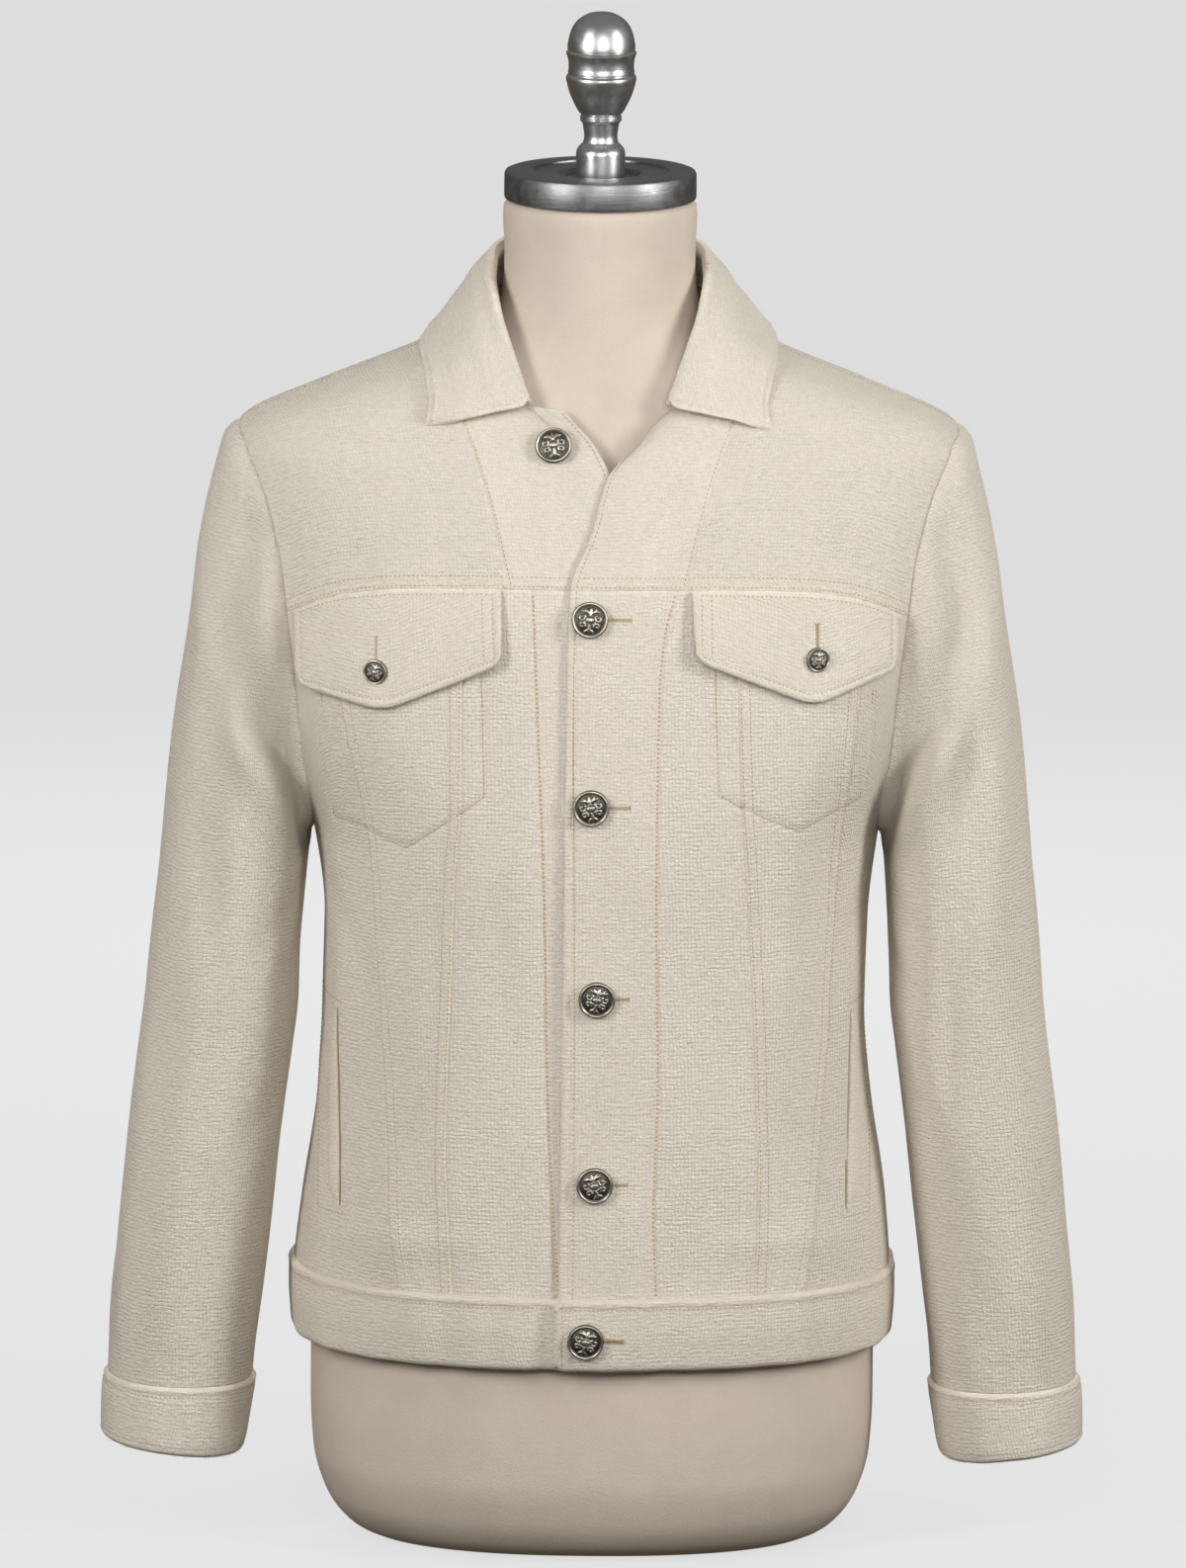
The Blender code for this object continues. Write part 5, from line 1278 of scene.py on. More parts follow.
@dataclass
class Sleeves(ClothWork):
    """The two set-in sleeves, each a top and an under piece.

    The surface is ring_point(row, angle) through the section table, pulled to the armhole's
    own curve at the top, less the depth of its folds.
    """

    cell: float = 0.0042
    columns: int = 150

    @staticmethod
    def ring_point(row: list[Array], angle: Array) -> Array:
        """Point of a section of superellipse shape; angle 0 is its outer side, 90 its front."""
        outer_x, outer_z, inner_x, inner_z, depth, centre_y = row
        cosine, sine = np.cos(angle), np.sin(angle)
        across = np.sign(cosine) * np.abs(cosine) ** (2.0 / SLEEVE_POWER)
        ahead = np.sign(sine) * np.abs(sine) ** (2.0 / SLEEVE_POWER)
        x = (outer_x + inner_x) / 2.0 + across * (outer_x - inner_x) / 2.0
        z = (outer_z + inner_z) / 2.0 + across * (outer_z - inner_z) / 2.0
        return np.stack([x, centre_y - depth * ahead, z], -1)

    @staticmethod
    def loop_point(q: Array) -> Array:
        """(angle, z) of the armhole at the given stations round it."""
        out = np.zeros((len(q), 2))
        for first, last, low, high, column in (
                (0.0, FRONT_YOKE_Q, YOKE_ARMHOLE_Z, SHOULDER_TOP_Z, 1),
                (FRONT_YOKE_Q, UNDERARM_Q, UNDERARM_Z, YOKE_ARMHOLE_Z, 1),
                (UNDERARM_Q, BACK_YOKE_Q, UNDERARM_Z, YOKE_ARMHOLE_Z, 2),
                (BACK_YOKE_Q, ROUND_Q, YOKE_ARMHOLE_Z, SHOULDER_TOP_Z, 2)):
            chosen = ((q > first) | (first == 0.0)) & (q <= last)
            share = (q[chosen] - first) / (last - first)
            path = armhole_path(low, high, column)
            out[chosen] = sample(path, 1.0 - share if column == 1 else share)
        return out

    def surface(self, side: str) -> tuple[Array, Array, Array]:
        """Outer grid of the +X sleeve with one side's folds, its normals and its stations."""
        q = np.linspace(0.0, ROUND_Q, self.columns, endpoint=False)
        loop = self.loop_point(q)
        armhole = BODY.point(*loop.T)
        outer_x, outer_z, inner_x, inner_z, depth, centre_y = SLEEVE_ROWS[0]
        axis = np.array([outer_x - inner_x, outer_z - inner_z]) / 2.0
        centre = np.array([outer_x + inner_x, outer_z + inner_z]) / 2.0
        across = ((armhole[:, [0, 2]] - centre) @ axis) / (axis @ axis)
        angle = np.arctan2((centre_y - armhole[:, 1]) / depth, across)
        angle = 0.35 * np.unwrap(angle - angle[0]) + 0.65 * (FULL_TURN * q / ROUND_Q)
        offset = armhole - self.ring_point(SLEEVE_ROWS[0], angle)
        table = np.array(SLEEVE_ROWS)
        level = np.arange(len(table), dtype=float)
        outer, inner = (np.linalg.norm(np.diff(table[:, pair], axis=0), axis=1)
                        for pair in ([0, 1], [2, 3]))
        reach = np.concatenate(([0.0], np.cumsum(outer * 0.62 + inner * 0.38)))
        share = spread(float(reach[-1]), self.cell, SEAM, SEAM)
        s = np.interp(share * reach[-1], reach, level)[:, None]
        fade = smooth_table(s, level[:6], np.array([1.0, 0.80, 0.50, 0.22, 0.06, 0.0]))
        grid = self.ring_point(smooth_columns(s, level, table), angle[None])
        grid = grid + fade[..., None] * offset[None]
        depths = self.fold_depth(side, angle[None], grid[..., 2], s)[..., None]
        grid = grid - depths * grid_normals(grid, ring=True)
        normal = grid_normals(grid, ring=True)
        seam = unit(BODY.normal(*loop.T) + normal[0])
        blend = smooth_step(1.0 - run_length(grid) / SEAM_BLEND)[..., None]
        return grid, unit(blend * seam[None] + (1.0 - blend) * normal), q

    def fold_depth(self, side: str, angle: Array, z: Array, s: Array) -> Array:
        """Depth of the folds: the large diagonal one at the underarm, then the smaller ones."""
        turn = np.degrees(angle)
        line = smooth_pair(z, ARM_FOLD)
        trough = 0.0085 * bell(turn - line, 13.0)
        trough -= 0.0030 * bell(turn - line + 27.0, 13.0)
        trough *= bell(z - 0.525, 0.095)
        upright = 0.0010 * np.sin(np.radians(2.6 * turn) + 14.0 * z)
        upright = upright * smooth_step((0.62 - z) / 0.12) * smooth_step((z - 0.105) / 0.06)
        soft = SLEEVE_DRAPE[side].height(angle, z) * smooth_step((z - 0.100) / 0.04)
        start = smooth_step(s / 1.6)
        gather = 0.00045 * np.sin(34.0 * angle) * smooth_step(s / 0.3) * np.exp(-s / 1.1)
        return (trough + upright - soft) * start + gather * (np.cos(angle) > -0.2)

    def seam_normals(self, q: Array, side: str) -> Array:
        """Wall directions shared with the body pieces along the armhole."""
        _, normal, ring = self.surface("left")
        stations = np.concatenate([ring, [ROUND_Q]])
        top = np.concatenate([normal[0], normal[0][:1]])
        return sided(unit(read_along(q, stations, top)), side)

    def build(self) -> None:
        """Make both sleeves."""
        for side in SIDES:
            grid, normal, q = self.surface(side)
            under = (q >= UNDERARM_Q - 1e-6) & (q <= BACK_YOKE_Q + 1e-6)
            first, last = np.flatnonzero(under)[[0, -1]]
            last += 1
            columns = {"under_sleeve": np.arange(first, last + 1),
                       "top_sleeve": np.arange(last, first + self.columns + 1) % self.columns}
            for piece, chosen in columns.items():
                name = f"{piece}_{side}"
                skin, facing = (sided(rows[::-1, chosen], side) for rows in (grid, normal))
                shell = ClothShell(f"{name}_cloth", skin, facing, (SEAM,) * 4)
                dress(shell, self.finishes.panel, name)


@dataclass
class Cuffs(ClothWork):
    """A folded ring of cloth at the foot of each sleeve, with a stitch row under its top."""

    columns: int = 112
    rows: int = 20

    def build(self) -> None:
        """Make both cuffs from the section table, rounded at top and bottom."""
        table = np.array(CUFF_ROWS)
        share = np.concatenate([np.linspace(0.0, 1.0, 5), np.linspace(1.0, 3.0, self.rows)[1:],
                                np.linspace(3.0, 4.0, 5)[1:]])[:, None]
        angle = round_turn(self.columns)[None]
        skin = Sleeves.ring_point(smooth_columns(share, np.arange(len(table)), table), angle)
        normal = grid_normals(skin, ring=True)
        normal[..., 2] *= 0.4
        normal = unit(normal)
        dip = -0.0004 * bell(share - 1.22, 0.07)
        for side in SIDES:
            out = 0.5 * SLEEVE_DRAPE[side].height(angle, np.full_like(share, 0.09))
            grid = skin + (out + dip)[..., None] * normal
            name = f"cuff_{side}"
            shell = ClothShell(f"{name}_cloth", sided(grid[::-1], side), sided(normal[::-1], side),
                               (TURNED,) * 4, wall=DOUBLED_WALL, ring=True)
            dress(shell, self.finishes.smooth, name)
            self.fringe.add(shell, 0)
            points, normals = shell.line(1, 0.0062)
            self.stitches.add(np.concatenate([points, points[:1]]),
                              np.concatenate([normals, normals[:1]]))


@dataclass
class BodyPanels(ClothWork):
    """Fronts, yokes and back: patches of the body surface between their seams."""

    sleeves: Sleeves
    cell: float = 0.0030
    narrow_cell: float = 0.0024
    fine_cell: float = 0.0018
    back_cell: float = 0.0046
    shells: dict[str, ClothShell] = field(default_factory=dict)

    def heights(self, cell: float) -> Array:
        """Shares of a front's height, with a line at the underarm."""
        low = spread(0.277, cell, SEAM, PLAIN) * LOWER_SHARE
        high = spread(0.190, 0.8 * cell, PLAIN, SEAM) * (1 - LOWER_SHARE)
        return np.concatenate([low, LOWER_SHARE + high[1:]])

    def panel(self, name: str, patch: Array, edges: tuple, material: Material,
              front: str | None = None, joins: tuple = ()) -> None:
        """Make one piece from its (angle, z) patch.

        Args:
            name: The solid it stands for.
            patch: (rows, columns, 2) angles and heights.
            edges: Finish of bottom, top, start and end.
            material: Its cloth.
            front: The front it is part of, if any.
            joins: (column, rows, directions) where sleeves join.
        """
        angle, z = patch[..., 0], patch[..., 1]
        out = np.zeros(angle.shape)
        if front is not None:
            out = lap_lift(front, BODY.point(angle, z)[..., 0])
            out = out + self.pocket_relief(POCKET_OUTLINE[front], angle, z)
            out = out + self.welt_relief(SIDES[front], angle, z)
        base, normal = draped_point(angle, z, out), BODY.normal(angle, z)
        for column, rows, directions in joins:
            across = np.linalg.norm(base[rows] - base[rows, column][:, None], axis=-1)
            blend = smooth_step(1.0 - across / SEAM_BLEND)[..., None]
            normal[rows] = unit(blend * directions[:, None] + (1.0 - blend) * normal[rows])
            base[rows] += blend * (BODY.point(angle, z) - base)[rows]
        self.shells[name] = ClothShell(f"{name}_cloth", base, normal, edges)
        dress(self.shells[name], material, name)

    @staticmethod
    def pocket_relief(outline: tuple, angle: Array, z: Array) -> Array:
        """The stitched pocket outline: a trough at it and a soft step up inside it."""
        corners = np.array(outline)
        turn = BODY.angle_of_x(*corners.T)
        nearest, inside = np.full(angle.shape, 1.0), np.full(angle.shape, 1.0)
        for k in range(len(corners) - 1):
            run = np.array([BODY_REACH * (turn[k + 1] - turn[k]), corners[k + 1, 1] - corners[k, 1]])
            across, up = BODY_REACH * (angle - turn[k]), z - corners[k, 1]
            share = np.clip((across * run[0] + up * run[1]) / (run @ run), 0.0, 1.0)
            nearest = np.minimum(nearest, np.hypot(across - share * run[0], up - share * run[1]))
            depth = (run[0] * up - run[1] * across) / np.linalg.norm(run)
            inside = np.minimum(inside, depth * np.sign(corners[0, 0]))
        step = 0.00065 * smooth_step(inside / 0.0022) * smooth_step((0.600 - z) / 0.02)
        return step - 0.00075 * bell(nearest - 0.0002, 0.0013)

    @staticmethod
    def welt_relief(sign: float, angle: Array, z: Array) -> Array:
        """The hand pocket's mouth: a crease at the slit and a low raised frame round it."""
        low, high = WELT_Z
        line = BODY.angle_of_x(np.full(z.shape, sign * (WELT_X - WELT_WIDTH / 2.0)), z)
        away = BODY_REACH * (angle - line) * sign
        along = smooth_step((z - low + 0.004) / 0.008) * smooth_step((high + 0.004 - z) / 0.008)
        return along * (0.0006 * bell(away + 0.0052, 0.0030) - 0.0011 * bell(away, 0.0016))

    def build_front(self, side: str) -> None:
        """The six pieces of one front, from band to yoke."""
        sign = SIDES[side]
        v = self.heights(self.cell)
        smooth, middle = self.finishes.smooth, self.finishes.middle
        seams = {"band": BAND_SEAM[side], "inner": INNER_SEAM[side], "outer": OUTER_SEAM[side]}
        up = {key: sample(seam_path(table, WAIST_Z, float(yoke_height(table[-1][1])), sign), v)
              for key, table in seams.items()}
        edge_top = float(yoke_height(OPENING_X))
        up["edge"] = sample(seam_path(FRONT_EDGE[side], WAIST_Z, edge_top, 1.0), v)
        up["side"] = to_side(side_edge(1, v), sign)
        x_at = {key: sign * table[-1][1] for key, table in seams.items()}
        x_at.update({key: float(BODY.point(*up[key][-1])[0]) for key in ("edge", "side")})
        pieces = (("front_band", "edge", "band", TURNED, SEAM, self.cell, smooth),
                  ("front_inner_panel", "band", "inner", SEAM, SEAM, self.narrow_cell, middle),
                  ("front_middle_panel", "inner", "outer", FELLED, FELLED, self.fine_cell, middle),
                  ("front_side_panel", "outer", "side", SEAM, SEAM, self.narrow_cell,
                   self.finishes.panel))
        arm = v > LOWER_SHARE - 1e-9
        arm_q = UNDERARM_Q - LOWER_ARM_Q * (v[arm] - LOWER_SHARE) / (1.0 - LOWER_SHARE)
        for piece, near, far, first, last, cell, cloth in pieces:
            foot = level_path(up[near][0, 0], up[far][0, 0], WAIST_Z)
            top = yoke_path(x_at[near], x_at[far])
            u = spread(0.5 * (path_length(foot) + path_length(top)), cell, first, last)
            bottom, upper = sample(foot, u), sample(top, u)
            upper[0], upper[-1] = up[near][-1], up[far][-1]
            joins = ()
            if far == "side":
                joins = ((-1, np.flatnonzero(arm), self.sleeves.seam_normals(arm_q, side)),)
            self.panel(f"{piece}_{side}", coons(bottom, upper, up[near], up[far], u, v),
                       (SEAM, SEAM, first, last), cloth, side, joins)
        self.build_upper(side, edge_top, x_at)

    def build_upper(self, side: str, edge_top: float, x_at: dict[str, float]) -> None:
        """The upper front band and the yoke of one front."""
        sign = SIDES[side]
        flare_x = sign * FLARE_SEAM[0][1]
        shoulder = to_side(shoulder_path(), sign)
        flare = seam_path(FLARE_SEAM, float(yoke_height(flare_x)), shoulder[0, 1] - 0.0006, sign)
        flare = np.concatenate([flare, shoulder[:1]])
        opening = seam_path(FRONT_EDGE[side], edge_top, FRONT_EDGE[side][-1][0], 1.0)
        start = abs(opening[-1, 0]) if side == "left" else math.radians(16.5)
        angle = np.linspace(start, math.pi / 2.0, 160)
        neck = np.stack([sign * angle, neckline_height(angle)], -1)
        top = np.concatenate([opening[-1:], neck[1:], shoulder[:1]])
        v = spread(0.145, self.cell, SEAM, SEAM)
        u = spread(0.090, self.cell, TURNED, SEAM)
        edges = [sample(yoke_path(x_at["edge"], flare_x), u), sample(top, u), sample(opening, v),
                 sample(flare, v)]
        edges[0][0] = edges[2][0]
        self.panel(f"upper_front_band_{side}", coons(*edges, u, v), (SEAM, SEAM, TURNED, SEAM),
                   self.finishes.smooth, side)
        arm = to_side(sample(armhole_path(YOKE_ARMHOLE_Z, SHOULDER_TOP_Z, 1), v), sign)
        u = spread(0.150, self.cell, SEAM, SEAM)
        edges = [sample(yoke_path(flare_x, x_at["side"]), u), sample(shoulder, u),
                 sample(flare, v), arm]
        edges[0][-1], edges[1][-1] = arm[0], arm[-1]
        directions = self.sleeves.seam_normals(FRONT_YOKE_Q * (1.0 - v), side)
        self.panel(f"front_yoke_{side}", coons(*edges, u, v), (SEAM,) * 4, self.finishes.panel,
                   side, ((-1, np.arange(len(v)), directions),))

    def build_back(self) -> None:
        """The back panel and the back yoke, each from side to side."""
        v = self.heights(self.back_cell)
        left = side_edge(2, v)
        right = past_back(left)
        seam_angle = np.linspace(left[-1, 0], right[-1, 0], 240)
        drop = np.abs(seam_angle - math.pi) / (right[-1, 0] - math.pi)
        yoke_z = BACK_YOKE_Z + (YOKE_ARMHOLE_Z - BACK_YOKE_Z) * drop ** 2
        u = spread(0.440, self.back_cell, SEAM, SEAM)
        yoke = sample(np.stack([seam_angle, yoke_z], -1), u)
        bottom = sample(level_path(math.pi / 2.0, 1.5 * math.pi, WAIST_Z), u)
        rows = np.flatnonzero(v > LOWER_SHARE - 1e-9)
        q = UNDERARM_Q + LOWER_ARM_Q * (v[rows] - LOWER_SHARE) / (1.0 - LOWER_SHARE)
        self.panel("back_panel", coons(bottom, yoke, left, right, u, v), (SEAM,) * 4,
                   self.finishes.panel, None, self.back_joins(rows, q))
        shoulder = shoulder_path()[::-1]
        angle = np.linspace(math.pi / 2.0, 1.5 * math.pi, 240)
        neck_z = neckline_height(np.where(angle > math.pi, FULL_TURN - angle, angle))
        top = np.concatenate([shoulder, np.stack([angle, neck_z], -1), past_back(shoulder)[::-1]])
        v = spread(0.140, self.back_cell, SEAM, SEAM)
        arm = sample(armhole_path(YOKE_ARMHOLE_Z, SHOULDER_TOP_Z, 2), v)
        self.panel("back_yoke", coons(yoke, sample(top, u), arm, past_back(arm), u, v),
                   (SEAM,) * 4, self.finishes.panel, None,
                   self.back_joins(np.arange(len(v)), BACK_YOKE_Q + FRONT_YOKE_Q * v))

    def back_joins(self, rows: Array, q: Array) -> tuple:
        """Where both sleeves join a back piece: its first and its last column."""
        return tuple((column, rows, self.sleeves.seam_normals(q, side))
                     for column, side in ((0, "left"), (-1, "right")))

    def build(self) -> None:
        """Make every body piece and sew its rows."""
        for side in SIDES:
            self.build_front(side)
        self.build_back()
        for side in SIDES:
            band, middle, upper, yoke = (f"{piece}_{side}" for piece in (
                "front_band", "front_middle_panel", "upper_front_band", "front_yoke"))
            self.sew((band, 3, 0.0006), (band, 3, 0.0013),
                     *((middle, edge, distance) for edge in (2, 3) for distance in FELLED_ROWS),
                     (yoke, 0, 0.0020), (upper, 0, 0.0022), (yoke, 0, 0.0082), (upper, 0, 0.0082),
                     (upper, 3, 0.0018), (upper, 2, 0.0030), (yoke, 1, 0.0020))
            self.sew_outline(side)
            for name, edge, reach in ((band, 2, 1.0), (upper, 2, 1.0), (upper, 1, 0.35)):
                self.fringe.add(self.shells[name], edge, reach)
        near, far = (self.shells["front_band_left"].line(2, away) for away in (0.0030, 0.0082))
        rise = smooth_step(np.linspace(-0.05, 1.02, len(near[0])))[:, None]
        self.stitches.add(far[0] + rise * (near[0] - far[0]), near[1])
        self.sew(("front_band_right", 2, 0.0036), ("back_yoke", 0, 0.0020),
                 ("back_yoke", 0, 0.0080))

    def sew(self, *rows: tuple[str, int, float]) -> None:
        """Sew rows of topstitching, each given as piece, border and distance from it."""
        for name, edge, distance in rows:
            self.stitches.add(*self.shells[name].line(edge, distance, 0.002))

    def sew_outline(self, side: str) -> None:
        """Sew the pocket outline on the draped surface."""
        fine = along_polyline(np.array(POCKET_OUTLINE[side]), np.linspace(0.0, 1.0, 260))
        self.stitches.add(*on_front(*fine.T, -0.00025))


@dataclass
class Waistband(ClothWork):
    """One folded strip round the hem; its lapping end lies over its under end at the front."""

    columns: int = 330
    length: float = 1.05
    lap_reach: float = 0.52
    lift: float = 0.0020

    def build(self) -> None:
        """Sweep the band's rounded profile round the body surface."""
        start, end = (float(BODY.angle_of_x(x, WAIST_Z)) for x in WAISTBAND_ENDS)
        end -= FULL_TURN
        share = spread(self.length, self.length / self.columns, TURNED, TURNED)
        angle = start + (end - start) * share
        travel, reach = np.abs(angle - start), abs(end - start)
        lift = self.lift * (smooth_step((travel - reach + self.lap_reach) / 0.10)
                            - smooth_step((self.lap_reach - travel) / 0.10))
        rise = np.concatenate([np.linspace(0.0, 0.004, 6), np.linspace(0.004, 0.040, 13)[1:],
                               np.linspace(0.040, 0.0466, 8)[1:]])[:, None]
        near_end = np.minimum(share, 1.0 - share) * self.length
        pull = 0.0030 * (1.0 - smooth_step(near_end / 0.006)) ** 2
        middle = 0.5 * rise.max()
        z = HEM_Z + middle + (rise - middle) * (1.0 - pull[None] / middle)
        turn = np.broadcast_to(angle[None], z.shape)
        wave = 0.7 * body_drape(turn, np.full_like(z, 0.168)) + 0.0005 * np.sin(31.0 * turn)
        normal = BODY.normal(turn, z)
        normal[..., 2] = 0.0
        normal = unit(normal)
        pucker = 0.00025 * np.sin(96.0 * turn + 2.0 * np.sin(7.0 * turn))
        pucker = pucker * bell(rise - 0.037, 0.006)
        out = smooth_pair(rise, WAISTBAND_ROWS) + lift[None] + wave + pucker
        base = BODY.point(turn, z) + out[..., None] * normal
        shell = ClothShell("waistband_cloth", base[:, ::-1], normal[:, ::-1],
                           (PLAIN, PLAIN, TURNED, TURNED), wall=DOUBLED_WALL)
        dress(shell, self.finishes.smooth, "waistband")
        for edge in (0, 1, 2):
            self.fringe.add(shell, edge)
        self.stitches.add(*shell.line(1, 0.0072, 0.003))
        self.stitches.add(*shell.line(2, EDGE_ROW, 0.004, 0.006))


@dataclass
class Collar(ClothWork):
    """Stand and fall in one folded sheet from front end to front end."""

    stations: int = 166
    across: int = 42

    @staticmethod
    def section(row: list[float], sign: float) -> Array:
        """Centre line of the folded cloth at one station, from the neckline to the edge."""
        angle, roll_r, roll_z, seam_z, edge_angle, edge_z = row
        turn, edge_turn = math.radians(angle) * sign, math.radians(edge_angle) * sign
        out = np.array([math.sin(turn), -math.cos(turn), 0.0])
        up = np.array([0.0, 0.0, 1.0])
        seam = BODY.point(turn, seam_z) - 0.001 * BODY.normal(turn, seam_z) + 0.0030 * up
        roll = roll_r * out + roll_z * up
        edge = BODY.point(edge_turn, edge_z) + 0.0040 * BODY.normal(edge_turn, edge_z)
        fold_in = roll - 0.0022 * out - 0.0030 * up
        fold_out = roll + 0.0026 * out - 0.0030 * up
        points = [seam, 0.5 * (seam + fold_in) - 0.0006 * out, fold_in, roll, fold_out]
        for t in (0.3, 0.65, 1.0):
            point = fold_out + t * (edge - fold_out) + 0.0045 * math.sin(math.pi * t) * out
            around = math.atan2(point[0], -point[1])
            skin = BODY.point(around, point[2]) + 0.0036 * BODY.normal(around, point[2])
            reach, needed = math.hypot(point[0], point[1]), math.hypot(skin[0], skin[1])
            if reach < needed:
                point[:2] *= needed / reach
            points.append(point)
        return np.stack(points)

    def build(self) -> None:
        """Loft the sections and give the fall a turned edge."""
        rows = np.array(COLLAR_ROWS)
        reach = spread(0.26, 0.26 / (self.stations / 2), TURNED, PLAIN)
        bend = 30.0 + 150.0 * reach ** 1.25
        columns = [self.section([float(x) for x in smooth_columns(station, rows[:, 0], rows)], sign)
                   for sign, half in ((-1.0, bend), (1.0, bend[-2::-1])) for station in half]
        control = np.stack(columns, axis=1)
        step = np.linalg.norm(np.diff(control, axis=0), axis=-1).mean(axis=1)
        chord = np.concatenate(([0.0], np.cumsum(step)))
        share = spread(float(chord[-1]), float(chord[-1]) / self.across, PLAIN, TURNED)
        base = np.stack([np.stack(smooth_columns(share * chord[-1], chord, control[:, j]), -1)
                         for j in range(control.shape[1])], axis=1)
        normal = -grid_normals(base)
        share = share[:, None]
        side = np.linspace(-1.0, 1.0, base.shape[1])[None]
        fall = smooth_step((share - 0.55) / 0.3)
        curl = 0.0056 * fall * smooth_step((share - 0.72) / 0.28) * np.abs(side) ** 5
        wave = 0.0010 * fall * np.sin(9.0 * side + 1.3) + 0.0006 * fall * np.sin(23.0 * side)
        bow = 0.0028 * smooth_step((share - 0.45) / 0.2)
        curl = curl + bow * smooth_step((1.0 - share) / 0.2)
        centre_out = 0.5 * DOUBLED_WALL * (0.75 + 0.25 * fall)
        base = base + (centre_out + curl + wave)[..., None] * normal
        shell = ClothShell("collar_cloth", base, normal, (PLAIN, TURNED, TURNED, TURNED),
                           wall=DOUBLED_WALL)
        dress(shell, self.finishes.smooth, "collar")
        for edge in (1, 2, 3):
            self.fringe.add(shell, edge)
        self.stitches.add(*shell.line(1, EDGE_ROW, 0.004))
        for edge in (2, 3):
            points, normals = shell.line(edge, EDGE_ROW)
            half = int(len(points) * 0.48)
            self.stitches.add(points[half:-9], normals[half:-9])


@dataclass
class ChestFlaps(ClothWork):
    """Pointed flaps hanging from the yoke seams, thick, with rounded lower corners."""

    wall: float = 0.0032
    corner: float = 0.0065
    cell: float = 0.0030

    @staticmethod
    def arc(before: Array, at: Array, after: Array, size: float) -> Array:
        """A parabola that cuts a corner at a distance from it."""
        start, end = at + size * unit(before - at), at + size * unit(after - at)
        t = np.linspace(0.0, 1.0, 21)[:, None]
        return (1 - t) ** 2 * start + 2 * t * (1 - t) * at + t * t * end

    def outline(self, side: str, u: Array, v: Array) -> list[Array]:
        """The four rounded edges in (angle, z), bottom, top, start and end."""
        sign = SIDES[side]
        top_x, *corners = (np.array(p) for p in FLAPS[side])
        inner, tip, outer = (to_side(corner, sign) for corner in corners)
        top_line = yoke_path(sign * top_x[0], sign * top_x[1])
        top_line[:, 1] -= 0.0012
        top = np.stack([BODY.point(*top_line.T)[:, 0], top_line[:, 1]], -1)
        bend_a = self.arc(top[0], inner, tip, self.corner)
        bend_tip = self.arc(inner, tip, outer, self.corner * 1.5)
        bend_b = self.arc(tip, outer, top[-1], self.corner * 1.3)
        runs = ((np.concatenate([bend_a[10:], bend_tip, bend_b[:11]]), u), (top, u),
                (np.concatenate([bend_a[:11][::-1], top[:1]]), v),
                (np.concatenate([bend_b[10:], top[-1:]]), v))
        edges = []
        for run, shares in runs:
            run = along_polyline(run, np.linspace(0.0, 1.0, 200))
            edges.append(sample(np.stack([BODY.angle_of_x(*run.T), run[:, 1]], -1), shares))
        return edges

    def build(self) -> None:
        """Make both flaps and their stitch rows."""
        u = spread(0.135, self.cell, TURNED, TURNED)
        v = spread(0.055, self.cell, TURNED, SEAM)
        stand = 0.0010 + self.wall + 0.0026 * smooth_step(1.0 - v)[:, None]
        wave = 0.0008 * np.sin(11.0 * u + 1.0)[None] * (1.0 - v)[:, None]
        wave = wave - 0.0012 * np.exp(-(((u[None] - 0.55) / 0.12) ** 2
                                        + ((v[:, None] - 0.25) / 0.3) ** 2))
        for side in SIDES:
            patch = coons(*self.outline(side, u, v), u, v)
            angle, z = patch[..., 0], patch[..., 1]
            shell = ClothShell(f"chest_flap_{side}_cloth", draped_point(angle, z, stand + wave),
                               BODY.normal(angle, z), (TURNED, SEAM, TURNED, TURNED),
                               wall=self.wall, rim_steps=4)
            dress(shell, self.finishes.smooth, f"chest_flap_{side}")
            for edge in (0, 2, 3):
                self.fringe.add(shell, edge)
            for edge, distance, first, last in (
                    (0, EDGE_ROW, 0.004, 0.004), (2, EDGE_ROW, 0.004, 0.003),
                    (3, EDGE_ROW, 0.004, 0.003), (2, 0.0105, 0.005, 0.003),
                    (1, 0.0022, 0.003, 0.003)):
                self.stitches.add(*shell.line(edge, distance, first, last))


